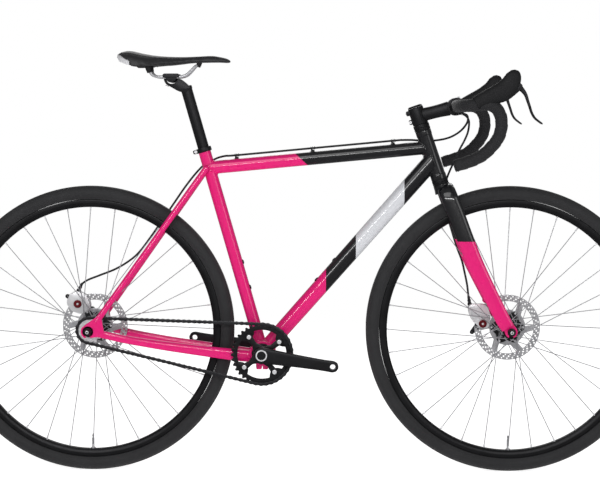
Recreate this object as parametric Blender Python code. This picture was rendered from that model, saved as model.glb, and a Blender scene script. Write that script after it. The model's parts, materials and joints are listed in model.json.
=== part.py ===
"""Road bicycle as an assembly: frame, fork, two wheels, disc brakes, single-speed drive, bar and saddle.

Metres. +X points forward, +Y to the rider's left, +Z up. The origin lies on the ground, midway
between the axles. Every sub-part is one closed body in an object of its own, and a moving sub-part
hangs from an empty on its joint's axis.
"""

import math

import bmesh
import bpy
from mathutils import Matrix, Vector
from mathutils.geometry import convex_hull_2d

MM = 0.001
GAP = 0.3 * MM
PAST = 10 * MM  # how far a cutting tool runs past the faces it opens
REACH = 60 * MM  # how far a cutting block stretches to take a whole half away

# Driving dimensions of the whole bicycle
WHEELBASE = 1012 * MM
WHEEL_RADIUS = 347 * MM
CHAINSTAY_LENGTH = 419 * MM
BRACKET_DROP = 56.5 * MM
SEAT_ANGLE = math.radians(74.0)
HEAD_ANGLE = math.radians(71.0)
FORK_OFFSET = 43 * MM
FORK_TIP_OUTER = 63.3 * MM

ACROSS = Vector((0, 1, 0))
REAR_AXLE = Vector((-WHEELBASE / 2, 0, WHEEL_RADIUS))
FRONT_AXLE = Vector((WHEELBASE / 2, 0, WHEEL_RADIUS))
BRACKET = REAR_AXLE + Vector((math.sqrt(CHAINSTAY_LENGTH**2 - BRACKET_DROP**2), 0, -BRACKET_DROP))
SEAT_UP = Vector((-math.cos(SEAT_ANGLE), 0, math.sin(SEAT_ANGLE)))
STEER_UP = Vector((-math.cos(HEAD_ANGLE), 0, math.sin(HEAD_ANGLE)))
STEER_FORWARD = Vector((math.sin(HEAD_ANGLE), 0, math.cos(HEAD_ANGLE)))
STEER_FOOT = FRONT_AXLE - STEER_FORWARD * FORK_OFFSET

# Main tubes: distances along the seat tube from the bracket and up the steering axis from its foot
TUBE_SIDES = 20
SEAT_TUBE_RADIUS = 14.9 * MM
SEAT_TUBE_LENGTH = 514 * MM
SEAT_TUBE_BORE_DEPTH = 260 * MM
SEATPOST_RADIUS = 13.6 * MM
SEATPOST_DEPTH = 150 * MM
SEATPOST_TOP = 668 * MM
HEAD_TUBE_RADIUS = 18 * MM
HEAD_TUBE_BOTTOM = 398.7 * MM
HEAD_TUBE_TOP = 521.7 * MM
STEERER_RADIUS = 14.3 * MM
STEERER_TOP = 579.5 * MM
CUP_HEIGHTS = (12.6 * MM, 16.0 * MM)
TOP_TUBE_RADIUS = 15.9 * MM
TOP_TUBE_AT_SEAT = 464.8 * MM
TOP_TUBE_AT_HEAD = 479.5 * MM
DOWN_TUBE_RADII = (18.5 * MM, 21 * MM)
DOWN_TUBE_AT_HEAD = 447.7 * MM
SHELL_RADIUS = 30 * MM
SHELL_BORE = 24 * MM
SHELL_HALF_WIDTH = 34 * MM
GUIDE_PLACES = (224 * MM, 31 * MM, -152 * MM)
HOUSING_RADIUS = 2.5 * MM
HOUSING_HEIGHT = 8 * MM

# Rear triangle
DROPOUT_INNER = 67.5 * MM
DROPOUT_THICKNESS = 6 * MM
DROPOUT_RADIUS = 17 * MM
AXLE_RADIUS = 4.8 * MM
SEATSTAY_RADIUS = 7.5 * MM
AXLE_SLOT_LENGTH = 30 * MM

# Wheels
WHEEL_STEPS = 36
RIM_INNER = 295.4 * MM
RIM_FLANGE = 313.9 * MM
RIM_HALF_WIDTH = 12 * MM
SPOKE_RADIUS = 1.1 * MM
SPOKES_PER_SIDE = 16
SPOKE_CROSSES = 3
FLANGE_RADIUS = 20 * MM
ROTOR_RADIUS = 80 * MM
ROTOR_THICKNESS = 1.8 * MM
FRONT_ROTOR_Y = 39.6 * MM
REAR_ROTOR_Y = 52.2 * MM

# Drive
CHAIN_PITCH = 12.7 * MM
RING_TEETH = 36
COG_TEETH = 15
CHAIN_LINE = -45 * MM
CRANK_LENGTH = 172.5 * MM
CRANK_ANGLE = math.radians(-8.9)
CRANK_FACES = (60 * MM, 73 * MM)
SPINDLE_RADIUS = 12 * MM
BOLT_CIRCLE_RADIUS = 52 * MM
BOLT_TABS = (45, 135, 225, 315)
SPROCKET_HALF_WIDTH = 1.3 * MM

# Bar, stem and saddle
BAR_CENTRE = Vector((374 * MM, 0, 884 * MM))
HOOD_LINE = 210  # y of the left hood and lever, in mm
BAR_RADIUS = 11.9 * MM
BAR_CLAMP_RADIUS = 15.9 * MM
BAR_CLAMP_OUTER = 21.2 * MM
BAR_CLAMP_HALF_WIDTH = 22 * MM
STEM_CLAMP_RADIUS = 18.6 * MM
TAPE_RADIUS = 14.8 * MM
BAR_SIDES = 10
SADDLE_AXIS = Vector((-308 * MM, 0, 955 * MM))
RAIL_RADIUS = 3.5 * MM

FINISHES = {
    "pink_paint": ((0.90, 0.10, 0.36), 0.25, 0.0),
    "black_paint": ((0.012, 0.012, 0.014), 0.25, 0.0),
    "black_alloy": ((0.02, 0.02, 0.022), 0.4, 0.8),
    "silver_alloy": ((0.62, 0.62, 0.64), 0.35, 1.0),
    "steel": ((0.5, 0.5, 0.52), 0.3, 1.0),
    "rubber": ((0.02, 0.02, 0.02), 0.85, 0.0),
    "tape": ((0.03, 0.03, 0.032), 0.8, 0.0),
    "leather": ((0.03, 0.03, 0.032), 0.55, 0.0),
    "plastic": ((0.02, 0.02, 0.02), 0.5, 0.0),
}


# ---------------------------------------------------------------- mesh helpers

def on_seat_tube(distance):
    return BRACKET + SEAT_UP * distance


def on_steering(distance, forward=0.0, y=0.0):
    return STEER_FOOT + STEER_UP * distance + STEER_FORWARD * forward + ACROSS * y


def on_side(points, flip):
    """Left-hand points kept, or sent to the right-hand side when flip is negative."""
    return [Vector((point.x, point.y * flip, point.z)) for point in points]


def span(flip, inner, outer):
    """Low and high y between two distances from the middle, on the side flip stands for."""
    return sorted((flip * inner, flip * outer))


def clear_radius(radius, sides):
    """Radius of a bored polygon whose flats stay one gap clear of a round of the given radius."""
    return (radius + GAP) / math.cos(math.pi / sides)


def new_object(name, bm, finish=None):
    """Turns a bmesh into an object; a tool that only cuts or joins others gets no finish."""
    bmesh.ops.remove_doubles(bm, verts=bm.verts, dist=1e-6)
    bmesh.ops.recalc_face_normals(bm, faces=bm.faces)
    mesh = bpy.data.meshes.new(name)
    bm.to_mesh(mesh)
    bm.free()
    part = bpy.data.objects.new(name, mesh)
    bpy.context.scene.collection.objects.link(part)
    if finish:
        dress(part, finish)
    return part


def dress(part, finish):
    colour, roughness, metallic = FINISHES[finish]
    material = bpy.data.materials.new(part.name)
    material.use_nodes = True
    shader = material.node_tree.nodes["Principled BSDF"]
    shader.inputs["Base Color"].default_value = (*colour, 1)
    shader.inputs["Roughness"].default_value = roughness
    shader.inputs["Metallic"].default_value = metallic
    part.data.materials.clear()
    part.data.materials.append(material)


def combine(part, tool, operation):
    """Applies a union, difference or intersection to the part, and deletes the tool."""
    modifier = part.modifiers.new(operation.lower(), "BOOLEAN")
    modifier.operation = operation
    modifier.solver = "EXACT"
    modifier.object = tool
    bpy.context.view_layer.update()
    evaluated = part.evaluated_get(bpy.context.evaluated_depsgraph_get())
    result = bpy.data.meshes.new_from_object(evaluated)
    part.modifiers.clear()
    old = part.data
    part.data = result
    bpy.data.meshes.remove(old)
    bpy.data.objects.remove(tool)


def cut(part, *tools):
    for tool in tools:
        combine(part, tool, "DIFFERENCE")


def join(part, *tools):
    for tool in tools:
        combine(part, tool, "UNION")


def skin(rings, closed=False):
    """Closed mesh through rings of equal size: capped at both ends, or closed on itself."""
    bm = bmesh.new()
    loops = [[bm.verts.new(point) for point in ring] for ring in rings]
    pairs = list(zip(loops, loops[1:]))
    if closed:
        pairs.append((loops[-1], loops[0]))
    for first, second in pairs:
        for step in range(len(first)):
            after = (step + 1) % len(first)
            bm.faces.new((first[step], first[after], second[after], second[step]))
    if not closed:
        bm.faces.new(loops[0])
        bm.faces.new(loops[-1])
    return bm


def frames_along(points, across=ACROSS):
    """At each point, the point and two directions square to the path, turning as little as possible."""
    frames = []
    last = len(points) - 1
    for index, point in enumerate(points):
        tangent = (points[min(index + 1, last)] - points[max(index - 1, 0)]).normalized()
        across = (across - tangent * across.dot(tangent)).normalized()
        frames.append((point, across, tangent.cross(across)))
    return frames


def rings_on(frames, sizes, sides):
    """Elliptical rings; a size is the half width across and the half height over the path."""
    rings = []
    for (point, across, over), (wide, high) in zip(frames, sizes):
        angles = [2 * math.pi * (step + 0.5) / sides for step in range(sides)]
        rings.append([point + across * wide * math.cos(a) + over * high * math.sin(a) for a in angles])
    return rings


def sweep(points, sizes, sides, across=ACROSS):
    return skin(rings_on(frames_along(points, across), sizes, sides))


def rod(start, end, radii, sides, across=ACROSS):
    """Straight round rod; radii are those at the start and at the end."""
    return sweep([start, end], [(radii[0], radii[0]), (radii[1], radii[1])], sides, across)


def cross_rod(centre, low_y, high_y, radius, sides):
    """Round rod along Y through a centre point."""
    start = Vector((centre.x, low_y, centre.z))
    end = Vector((centre.x, high_y, centre.z))
    return rod(start, end, (radius, radius), sides, Vector((1, 0, 0)))


def turned(profile, origin, axis, steps, ring=True):
    """Turns (along, radius) points about an axis; a ring's profile closes on itself."""
    side = axis.orthogonal().normalized()
    if abs(axis.y) > 0.9:
        side = Vector((1, 0, 0))
    side = Matrix.Rotation(math.pi / steps, 3, axis) @ side
    bm = bmesh.new()
    verts = [bm.verts.new(origin + axis * along + side * radius) for along, radius in profile]
    pairs = list(zip(verts, verts[1:]))
    if ring:
        pairs.append((verts[-1], verts[0]))
    edges = [bm.edges.new(pair) for pair in pairs]
    bmesh.ops.spin(
        bm, geom=verts + edges, cent=origin, axis=axis, angle=2 * math.pi, steps=steps, use_merge=True
    )
    return bm


def plate(outline, low_y, high_y):
    """Flat plate square to Y between two values of y; the outline is (x, z) points."""
    bm = bmesh.new()
    face = bm.faces.new([bm.verts.new((x, low_y, z)) for x, z in outline])
    grown = bmesh.ops.extrude_face_region(bm, geom=[face])
    moved = [item for item in grown["geom"] if isinstance(item, bmesh.types.BMVert)]
    bmesh.ops.translate(bm, verts=moved, vec=(0, high_y - low_y, 0))
    return bm


def block(low, high):
    bm = bmesh.new()
    bmesh.ops.create_cube(bm, size=1)
    middle = (Vector(low) + Vector(high)) / 2
    size = Vector(high) - Vector(low)
    bmesh.ops.scale(bm, verts=bm.verts, vec=size)
    bmesh.ops.translate(bm, verts=bm.verts, vec=middle)
    return bm


def arc(centre, radius, first, last, steps):
    """(x, z) points of an arc round a centre, angles in degrees from +X towards +Z."""
    angles = [math.radians(first + (last - first) * step / steps) for step in range(steps + 1)]
    return [(centre[0] + radius * math.cos(a), centre[1] + radius * math.sin(a)) for a in angles]


def outline_in_mm(points):
    return [(x * MM, z * MM) for x, z in points]


def hull_of_circles(circles, steps=12):
    """(x, z) outline wrapped round circles given as (x, z, radius)."""
    points = []
    for x, z, radius in circles:
        points += arc((x, z), radius, 0, 360 * (steps - 1) / steps, steps - 1)
    return [points[index] for index in convex_hull_2d(points)]


def slot_outline(centre, half_width, length):
    """(x, z) outline of a slot with a round upper end that runs down from a centre."""
    x, z = centre
    return arc(centre, half_width, 0, 180, 8) + [(x - half_width, z - length), (x + half_width, z - length)]


def as_is(bm):
    return bm


def mirrored(bm):
    """The same mesh on the other side of the bicycle."""
    bmesh.ops.scale(bm, verts=bm.verts, vec=(1, -1, 1))
    return bm


def smooth_path(points, spacing):
    """Catmull-Rom curve through route points, read at about the given spacing."""
    padded = [points[0] * 2 - points[1], *points, points[-1] * 2 - points[-2]]
    path = []
    for before, start, end, after in zip(padded, padded[1:], padded[2:], padded[3:]):
        steps = max(1, round((end - start).length / spacing))
        for step in range(steps):
            t = step / steps
            bend = (2 * before - 5 * start + 4 * end - after) * t**2
            twist = (3 * start - before - 3 * end + after) * t**3
            path.append(0.5 * (2 * start + (end - before) * t + bend + twist))
    return [*path, points[-1]]


def vectors(rows):
    """Route points given in millimetres."""
    return [Vector(row) * MM for row in rows]


def hang_on(name, origin, parts):
    """Parents moving pieces to an empty on their joint's axis."""
    pivot = bpy.data.objects.new(name, None)
    pivot.location = origin
    bpy.context.scene.collection.objects.link(pivot)
    bpy.context.view_layer.update()
    for part in parts:
        part.parent = pivot
        part.matrix_parent_inverse = pivot.matrix_world.inverted()


# ---------------------------------------------------------------- frame

SEAT_CUT_RADIUS = clear_radius(SEAT_TUBE_RADIUS, TUBE_SIDES)
TOP_TUBE_ENDS = (on_seat_tube(TOP_TUBE_AT_SEAT), on_steering(TOP_TUBE_AT_HEAD))

# Left-hand stays; the chainstay's rows are x, y, z, half width and half height, in mm
SEATSTAY_ENDS = vectors([(-226, 19, 735), (-487, 68, 369)])
CHAINSTAY_STATIONS = [
    (-100, 24, 281, 8.5, 13.5),
    (-122, 24.5, 283, 8.5, 14),
    (-165, 31, 288, 8.3, 14),
    (-300, 46, 307, 8.3, 11.5),
    (-380, 57, 320.5, 8, 10),
    (-424, 63, 329, 7.6, 9.5),
    (-484, 66.5, 343, 7, 9),
]


def seat_tube_tool():
    radii = (SEAT_CUT_RADIUS, SEAT_CUT_RADIUS)
    return new_object("tool", rod(BRACKET, on_seat_tube(SEAT_TUBE_LENGTH), radii, TUBE_SIDES))


def head_tube_tool():
    radius = clear_radius(HEAD_TUBE_RADIUS, TUBE_SIDES)
    ends = (on_steering(HEAD_TUBE_BOTTOM - REACH), on_steering(HEAD_TUBE_TOP + REACH))
    return new_object("tool", rod(*ends, (radius, radius), TUBE_SIDES))


def shell_tool():
    radius = clear_radius(SHELL_RADIUS, TUBE_SIDES)
    return new_object("tool", cross_rod(BRACKET, -SHELL_HALF_WIDTH, SHELL_HALF_WIDTH, radius, TUBE_SIDES))


def top_tube_point(x):
    """Point on the top tube's centre line at a given x."""
    start, end = TOP_TUBE_ENDS
    return start + (end - start) * (x - start.x) / (end.x - start.x)


def make_head_tube():
    bore = STEERER_RADIUS + 1.0 * MM
    profile = [
        (HEAD_TUBE_BOTTOM, bore),
        (HEAD_TUBE_BOTTOM, HEAD_TUBE_RADIUS),
        (HEAD_TUBE_TOP, HEAD_TUBE_RADIUS),
        (HEAD_TUBE_TOP, bore),
    ]
    new_object("head_tube", turned(profile, STEER_FOOT, STEER_UP, TUBE_SIDES), "black_paint")
    cups = {
        "headset_cup_lower": (HEAD_TUBE_BOTTOM - CUP_HEIGHTS[0], HEAD_TUBE_BOTTOM - GAP),
        "headset_cup_upper": (HEAD_TUBE_TOP + GAP, HEAD_TUBE_TOP + CUP_HEIGHTS[1]),
    }
    for name, (low, high) in cups.items():
        bore = STEERER_RADIUS + 0.7 * MM
        outer = HEAD_TUBE_RADIUS + 1.5 * MM
        profile = [(low, bore), (low, outer), (high, outer), (high, bore)]
        new_object(name, turned(profile, STEER_FOOT, STEER_UP, TUBE_SIDES), "black_alloy")


def make_top_tube():
    radii = (TOP_TUBE_RADIUS, TOP_TUBE_RADIUS)
    tube = new_object("top_tube", rod(*TOP_TUBE_ENDS, radii, TUBE_SIDES), "pink_paint")
    cut(tube, seat_tube_tool(), head_tube_tool())
    along = (TOP_TUBE_ENDS[1] - TOP_TUBE_ENDS[0]).normalized()
    for x in GUIDE_PLACES:
        top = top_tube_point(x) + Vector((0, 0, TOP_TUBE_RADIUS))
        low = top + Vector((-6, -4, -3)) * MM
        high = top + Vector((6, 4, 12)) * MM
        join(tube, new_object("tool", block(low, high)))
        middle = top + Vector((0, 0, HOUSING_HEIGHT))
        ends = (middle - along * 2 * PAST, middle + along * 2 * PAST)
        hole = clear_radius(HOUSING_RADIUS + 0.9 * MM, 8)
        cut(tube, new_object("tool", rod(*ends, (hole, hole), 8)))


def make_down_tube():
    ends = (BRACKET, on_steering(DOWN_TUBE_AT_HEAD))
    tube = new_object("down_tube", rod(*ends, DOWN_TUBE_RADII, TUBE_SIDES), "pink_paint")
    cut(tube, shell_tool(), seat_tube_tool(), head_tube_tool())
    return tube


def make_seat_tube():
    radii = (SEAT_TUBE_RADIUS, SEAT_TUBE_RADIUS)
    outside = rod(BRACKET, on_seat_tube(SEAT_TUBE_LENGTH), radii, TUBE_SIDES)
    tube = new_object("seat_tube", outside, "pink_paint")
    bore = clear_radius(SEATPOST_RADIUS, TUBE_SIDES)
    ends = (on_seat_tube(SEAT_TUBE_LENGTH - SEAT_TUBE_BORE_DEPTH), on_seat_tube(SEAT_TUBE_LENGTH + PAST))
    cut(tube, shell_tool(), new_object("tool", rod(*ends, (bore, bore), TUBE_SIDES)))
    return tube


def add_bottle_bosses(tube, along, outward, height, places):
    """Two low round bosses with flat faces at a height over the tube's axis, for a bottle cage."""
    for place in places:
        foot = BRACKET + along * place + outward * height / 2
        face = BRACKET + along * place + outward * height
        join(tube, new_object("tool", rod(foot, face, (6 * MM, 6 * MM), 12)))


def make_bracket_shell():
    profile = [
        (-SHELL_HALF_WIDTH, SHELL_BORE),
        (-SHELL_HALF_WIDTH, SHELL_RADIUS),
        (SHELL_HALF_WIDTH, SHELL_RADIUS),
        (SHELL_HALF_WIDTH, SHELL_BORE),
    ]
    shell = new_object("bottom_bracket_shell", turned(profile, BRACKET, ACROSS, TUBE_SIDES), "pink_paint")
    low = BRACKET + Vector((-14, -30, -39)) * MM
    high = BRACKET + Vector((14, 30, -26)) * MM
    join(shell, new_object("tool", block(low, high)))
    slit_low = BRACKET + Vector((-1, -35, -40)) * MM
    slit_high = BRACKET + Vector((1, 35, -20)) * MM
    cut(shell, new_object("tool", block(slit_low, slit_high)))


def make_bracket_cups():
    for name, side in (("bottom_bracket_cup_right", -1), ("bottom_bracket_cup_left", 1)):
        bore = SPINDLE_RADIUS + 0.6 * MM
        inside = SHELL_BORE - 0.8 * MM
        flange = SHELL_RADIUS - 5 * MM
        face = SHELL_HALF_WIDTH + GAP
        profile = [
            (side * 12 * MM, bore),
            (side * 12 * MM, inside),
            (side * face, inside),
            (side * face, flange),
            (side * 40 * MM, flange),
            (side * 40 * MM, bore),
        ]
        new_object(name, turned(profile, BRACKET, ACROSS, 16), "black_alloy")


def make_stays():
    route = vectors([(x, y, z) for x, y, z, wide, high in CHAINSTAY_STATIONS])
    sizes = [(wide * MM, high * MM) for x, y, z, wide, high in CHAINSTAY_STATIONS]
    radii = (SEATSTAY_RADIUS, SEATSTAY_RADIUS)
    for side, flip in (("left", 1), ("right", -1)):
        chainstay = new_object("chainstay_" + side, sweep(on_side(route, flip), sizes, 12), "pink_paint")
        cut(chainstay, shell_tool(), dropout_tool(flip))
        stay = rod(*on_side(SEATSTAY_ENDS, flip), radii, 12)
        seatstay = new_object("seatstay_" + side, stay, "pink_paint")
        cut(seatstay, seat_tube_tool(), dropout_tool(flip))


def dropout_outline(margin):
    axle = (REAR_AXLE.x, REAR_AXLE.z, DROPOUT_RADIUS + margin)
    toward_chainstay = (-474 * MM, 342.5 * MM, 7 * MM + margin)
    toward_seatstay = (-479 * MM, 380 * MM, 6 * MM + margin)
    return hull_of_circles([axle, toward_chainstay, toward_seatstay], 16)


def dropout_tool(flip):
    low, high = span(flip, DROPOUT_INNER - GAP, DROPOUT_INNER + DROPOUT_THICKNESS + PAST)
    return new_object("tool", plate(dropout_outline(GAP), low, high))


def make_dropouts():
    for side, flip in (("left", 1), ("right", -1)):
        low, high = span(flip, DROPOUT_INNER, DROPOUT_INNER + DROPOUT_THICKNESS)
        part = new_object("dropout_" + side, plate(dropout_outline(0), low, high), "pink_paint")
        if side == "left":
            arm = hull_of_circles([(-515 * MM, 358 * MM, 9 * MM), (-527 * MM, 386 * MM, 7.5 * MM)])
            join(part, new_object("tool", plate(arm, low, high)))
        slot = slot_outline((REAR_AXLE.x, REAR_AXLE.z), AXLE_RADIUS + 0.4 * MM, AXLE_SLOT_LENGTH)
        cut(part, new_object("tool", plate(slot, low - PAST, high + PAST)))


def make_seat_clamp():
    low = SEAT_TUBE_LENGTH - 9.5 * MM
    high = SEAT_TUBE_LENGTH + 1.5 * MM
    outer = SEAT_TUBE_RADIUS + 3.4 * MM
    collar = rod(on_seat_tube(low), on_seat_tube(high), (outer, outer), TUBE_SIDES)
    part = new_object("seat_clamp", collar, "black_alloy")
    centre = on_seat_tube((low + high) / 2)
    backward = Vector((-SEAT_UP.z, 0, SEAT_UP.x))
    ear = rod(centre + backward * 10 * MM, centre + backward * 27 * MM, (5 * MM, 5 * MM), 12)
    bmesh.ops.scale(ear, verts=ear.verts, vec=(1, 1.8, 1))
    join(part, new_object("tool", ear))
    bore = clear_radius(SEAT_TUBE_RADIUS, TUBE_SIDES)
    ends = (on_seat_tube(low - PAST), on_seat_tube(high + PAST))
    cut(part, new_object("tool", rod(*ends, (bore, bore), TUBE_SIDES)))


# ---------------------------------------------------------------- fork, stem and bar

# Left blade and crown: distance up the steering axis, distance forward, y, half width and half
# thickness, in mm
BLADE_STATIONS = [
    (335, 7.8, 39, 20.5, 11),
    (307, 9.1, 41.5, 20.5, 10.5),
    (250, 10.8, 46, 20, 10),
    (192, 13.0, 50, 20, 9),
    (140, 18.7, 53, 19, 8),
    (86, 26.2, 55.5, 18, 7),
    (34, 33.5, 57, 17.3, 6),
    (12, 38.5, 57, 16.0, 5.5),
]
BLADE_TIP_FACES = (50.3 * MM, 57 * MM)
BRAKE_TABS = [
    [(472, 405, 9), (452, 412, 6)],
    [(492, 352, 9), (473, 341, 6)],
]
CROWN_STATIONS = [
    (335, 7.8, 39, 20.5, 11),
    (350, 7.2, 37.4, 20.5, 11),
    (363, 6.6, 31.5, 20.5, 11),
    (370.5, 6.2, 18, 20.5, 12),
    (372, 6, 0, 21, 13),
]


def fork_route(stations):
    """Points on the fork's left centre line and the half sizes at each."""
    points = [on_steering(up * MM, forward * MM, y * MM) for up, forward, y, wide, thick in stations]
    sizes = [(wide * MM, thick * MM) for up, forward, y, wide, thick in stations]
    return points, sizes


def make_crown():
    half, sizes = fork_route(CROWN_STATIONS)
    points = half + on_side(reversed(half[:-1]), -1)
    part = new_object(
        "fork_crown_and_steerer",
        sweep(points, sizes + sizes[-2::-1], 14, STEER_FORWARD),
        "black_paint",
    )
    race = HEAD_TUBE_RADIUS + 1.5 * MM
    crown_middle = CROWN_STATIONS[-1][0] * MM
    race_ends = (on_steering(crown_middle - 2 * MM), on_steering(HEAD_TUBE_BOTTOM - CUP_HEIGHTS[0] - GAP))
    join(part, new_object("tool", rod(*race_ends, (race, race), TUBE_SIDES)))
    steerer_ends = (on_steering(crown_middle), on_steering(STEERER_TOP))
    join(part, new_object("tool", rod(*steerer_ends, (STEERER_RADIUS, STEERER_RADIUS), TUBE_SIDES)))


def make_blades():
    route, sizes = fork_route(BLADE_STATIONS)
    crown = fork_route(CROWN_STATIONS)[0]
    route[0] = crown[0] + (crown[0] - crown[1]).normalized() * 2 * GAP
    for side, flip in (("left", 1), ("right", -1)):
        blade = sweep(on_side(route, flip), sizes, 14, STEER_FORWARD)
        part = new_object("fork_blade_" + side, blade, "black_paint")
        low, high = span(flip, *BLADE_TIP_FACES)
        tip = hull_of_circles([(FRONT_AXLE.x, FRONT_AXLE.z, 15 * MM), (493 * MM, 372 * MM, 10 * MM)], 16)
        join(part, new_object("tool", plate(tip, low, high)))
        if side == "left":
            add_brake_tabs(part)
        slot = slot_outline((FRONT_AXLE.x, FRONT_AXLE.z), AXLE_RADIUS + 0.4 * MM, AXLE_SLOT_LENGTH)
        low, high = span(flip, BLADE_TIP_FACES[0] - PAST, BLADE_TIP_FACES[1] + 2 * PAST)
        cut(part, new_object("tool", plate(slot, low, high)))


def add_brake_tabs(blade):
    """Two lugs behind the left blade that carry the brake."""
    for tab in BRAKE_TABS:
        outline = hull_of_circles([(x * MM, z * MM, radius * MM) for x, z, radius in tab])
        join(blade, new_object("tool", plate(outline, 52.5 * MM, 60 * MM)))


def bar_clamp_mesh():
    return cross_rod(BAR_CENTRE, -BAR_CLAMP_HALF_WIDTH, BAR_CLAMP_HALF_WIDTH, BAR_CLAMP_OUTER, TUBE_SIDES)


def make_stem():
    clamp_low = HEAD_TUBE_TOP + CUP_HEIGHTS[1] + GAP
    clamp_high = STEERER_TOP + 0.8 * MM
    middle = on_steering((clamp_low + clamp_high) / 2)
    radii = (STEM_CLAMP_RADIUS, STEM_CLAMP_RADIUS)
    clamp = rod(on_steering(clamp_low), on_steering(clamp_high), radii, TUBE_SIDES)
    stem = new_object("stem", clamp, "black_alloy")
    join(stem, new_object("tool", rod(middle, BAR_CENTRE, (15 * MM, 16 * MM), 16)))
    join(stem, new_object("tool", bar_clamp_mesh()))
    face = new_object("stem_faceplate", bar_clamp_mesh(), "black_alloy")
    split_bar_clamp(stem, face, (BAR_CENTRE - middle).normalized())
    bore = clear_radius(STEERER_RADIUS, TUBE_SIDES)
    ends = (on_steering(clamp_low - PAST), on_steering(clamp_high + PAST))
    cut(stem, new_object("tool", rod(*ends, (bore, bore), TUBE_SIDES)))
    cap_ends = (on_steering(clamp_high + GAP), on_steering(clamp_high + 5 * MM))
    new_object("headset_top_cap", rod(*cap_ends, (17.5 * MM, 15 * MM), TUBE_SIDES), "black_alloy")


def split_bar_clamp(stem, face, forward):
    """Leaves the stem the rear half of the bar clamp and the faceplate the front half, and bores both."""
    turn = Matrix.Rotation(-math.atan2(forward.z, forward.x), 4, "Y")
    bore = clear_radius(BAR_CLAMP_RADIUS, BAR_SIDES * 2)
    for part, low_x, high_x in ((stem, -GAP, REACH), (face, -REACH, GAP)):
        half = block((low_x, -REACH, -REACH), (high_x, REACH, REACH))
        bmesh.ops.transform(half, matrix=Matrix.Translation(BAR_CENTRE) @ turn, verts=half.verts)
        hole = cross_rod(BAR_CENTRE, -REACH, REACH, bore, BAR_SIDES * 2)
        cut(part, new_object("tool", half), new_object("tool", hole))


# Left half of the bar from the middle outwards, in mm
BAR_ROUTE = [
    (374, 0, 884), (374, 33, 884), (374, 58, 884), (374, 68, 884), (374, 140, 884),
    (379, 176, 884.3), (391, 198, 885), (408, 208.5, 886), (428, 210, 887), (445, 210, 882),
    (457, 210, 869), (462.5, 210, 850), (461.5, 210, 829), (454.5, 210, 809), (440, 210, 790),
    (420, 210, 771.5), (393, 210, 758), (358, 210, 747),
]
TAPE_START = 3


def bar_frames():
    return frames_along(vectors(BAR_ROUTE), Vector((1, 0, 0)))


def make_bar():
    sizes = [(BAR_RADIUS, BAR_RADIUS)] * len(BAR_ROUTE)
    sizes[0] = sizes[1] = (BAR_CLAMP_RADIUS, BAR_CLAMP_RADIUS)
    left = rings_on(bar_frames(), sizes, BAR_SIDES)
    right = [on_side(ring, -1) for ring in reversed(left[1:])]
    new_object("handlebar", skin(right + left), "black_alloy")


def tape_mesh(inner, outer):
    frames = bar_frames()[TAPE_START:]
    outside = rings_on(frames, [(outer, outer)] * len(frames), BAR_SIDES)
    inside = rings_on(frames, [(inner, inner)] * len(frames), BAR_SIDES)
    return skin(outside + inside[::-1], closed=True)


# Brake hood and lever of the left side: x, z, half width and half height, in mm
HOOD_STATIONS = [
    (405, 889, 17.2, 16.4), (425, 899, 17.5, 18), (447, 908, 17.5, 21), (466, 917, 17, 23.5),
    (480, 930, 16, 22.5), (487, 945, 15.5, 19.5), (488.5, 957, 13.5, 15.5), (487.5, 965, 8, 8),
]
LEVER_PIVOT = Vector((501, HOOD_LINE, 927)) * MM
LEVER_STATIONS = [
    (499.5, 929, 5.5, 6), (505, 923.5, 5.5, 6), (511, 917, 5.5, 5), (517, 908, 5.5, 4),
    (521.5, 895, 6, 3.3), (526, 882, 6.5, 3), (530.7, 868, 6.5, 2.8), (537.5, 856.5, 6.5, 2.6),
    (546.7, 848.5, 6, 2.4), (556, 842, 4.5, 2.2),
]


def hood_line_sweep(stations, sides):
    points = [Vector((x, HOOD_LINE, z)) * MM for x, z, wide, high in stations]
    sizes = [(wide * MM, high * MM) for x, z, wide, high in stations]
    return sweep(points, sizes, sides)


def tape_tool():
    """Solid of the taped bar with a gap all round, for cutting the hood."""
    frames = bar_frames()[TAPE_START:]
    radius = clear_radius(TAPE_RADIUS, BAR_SIDES)
    return skin(rings_on(frames, [(radius, radius)] * len(frames), BAR_SIDES))


def lever_tool():
    low = LEVER_PIVOT + Vector((-9, -6.2, -45)) * MM
    high = LEVER_PIVOT + Vector((40, 6.2, 10)) * MM
    return block(low, high)


def make_controls():
    inner = clear_radius(BAR_RADIUS, BAR_SIDES)
    for side, flip, place in (("left", 1, as_is), ("right", -1, mirrored)):
        new_object("bar_tape_" + side, place(tape_mesh(inner, TAPE_RADIUS)), "tape")
        hood = new_object("brake_hood_" + side, place(hood_line_sweep(HOOD_STATIONS, 12)), "rubber")
        cut(hood, new_object("tool", place(tape_tool())), new_object("tool", place(lever_tool())))
        lever = new_object("brake_lever_" + side, place(hood_line_sweep(LEVER_STATIONS, 8)), "black_alloy")
        pivot = on_side([LEVER_PIVOT], flip)[0]
        hang_on("lever_pivot_" + side, pivot, [lever])


# ---------------------------------------------------------------- wheels

def tyre_profile():
    """(along, radius) points of the tyre's open section, with a flat tread strip."""
    tread = WHEEL_RADIUS / math.cos(math.pi / WHEEL_STEPS)
    outside = [
        (-11.7, 314.5), (-18, 327), (-14, 341.5), (-6, tread / MM),
        (6, tread / MM), (14, 341.5), (18, 327), (11.7, 314.5),
    ]
    inside = [(8.5, 314.5), (0, 340), (-8.5, 314.5)]
    return [(along * MM, radius * MM) for along, radius in outside + inside]


def rim_profile():
    """(along, radius) points of the rim's V section."""
    return [
        (-7 * MM, RIM_INNER),
        (-RIM_HALF_WIDTH, RIM_INNER + 9 * MM),
        (-RIM_HALF_WIDTH, RIM_FLANGE),
        (RIM_HALF_WIDTH, RIM_FLANGE),
        (RIM_HALF_WIDTH, RIM_INNER + 9 * MM),
        (7 * MM, RIM_INNER),
    ]


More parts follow.
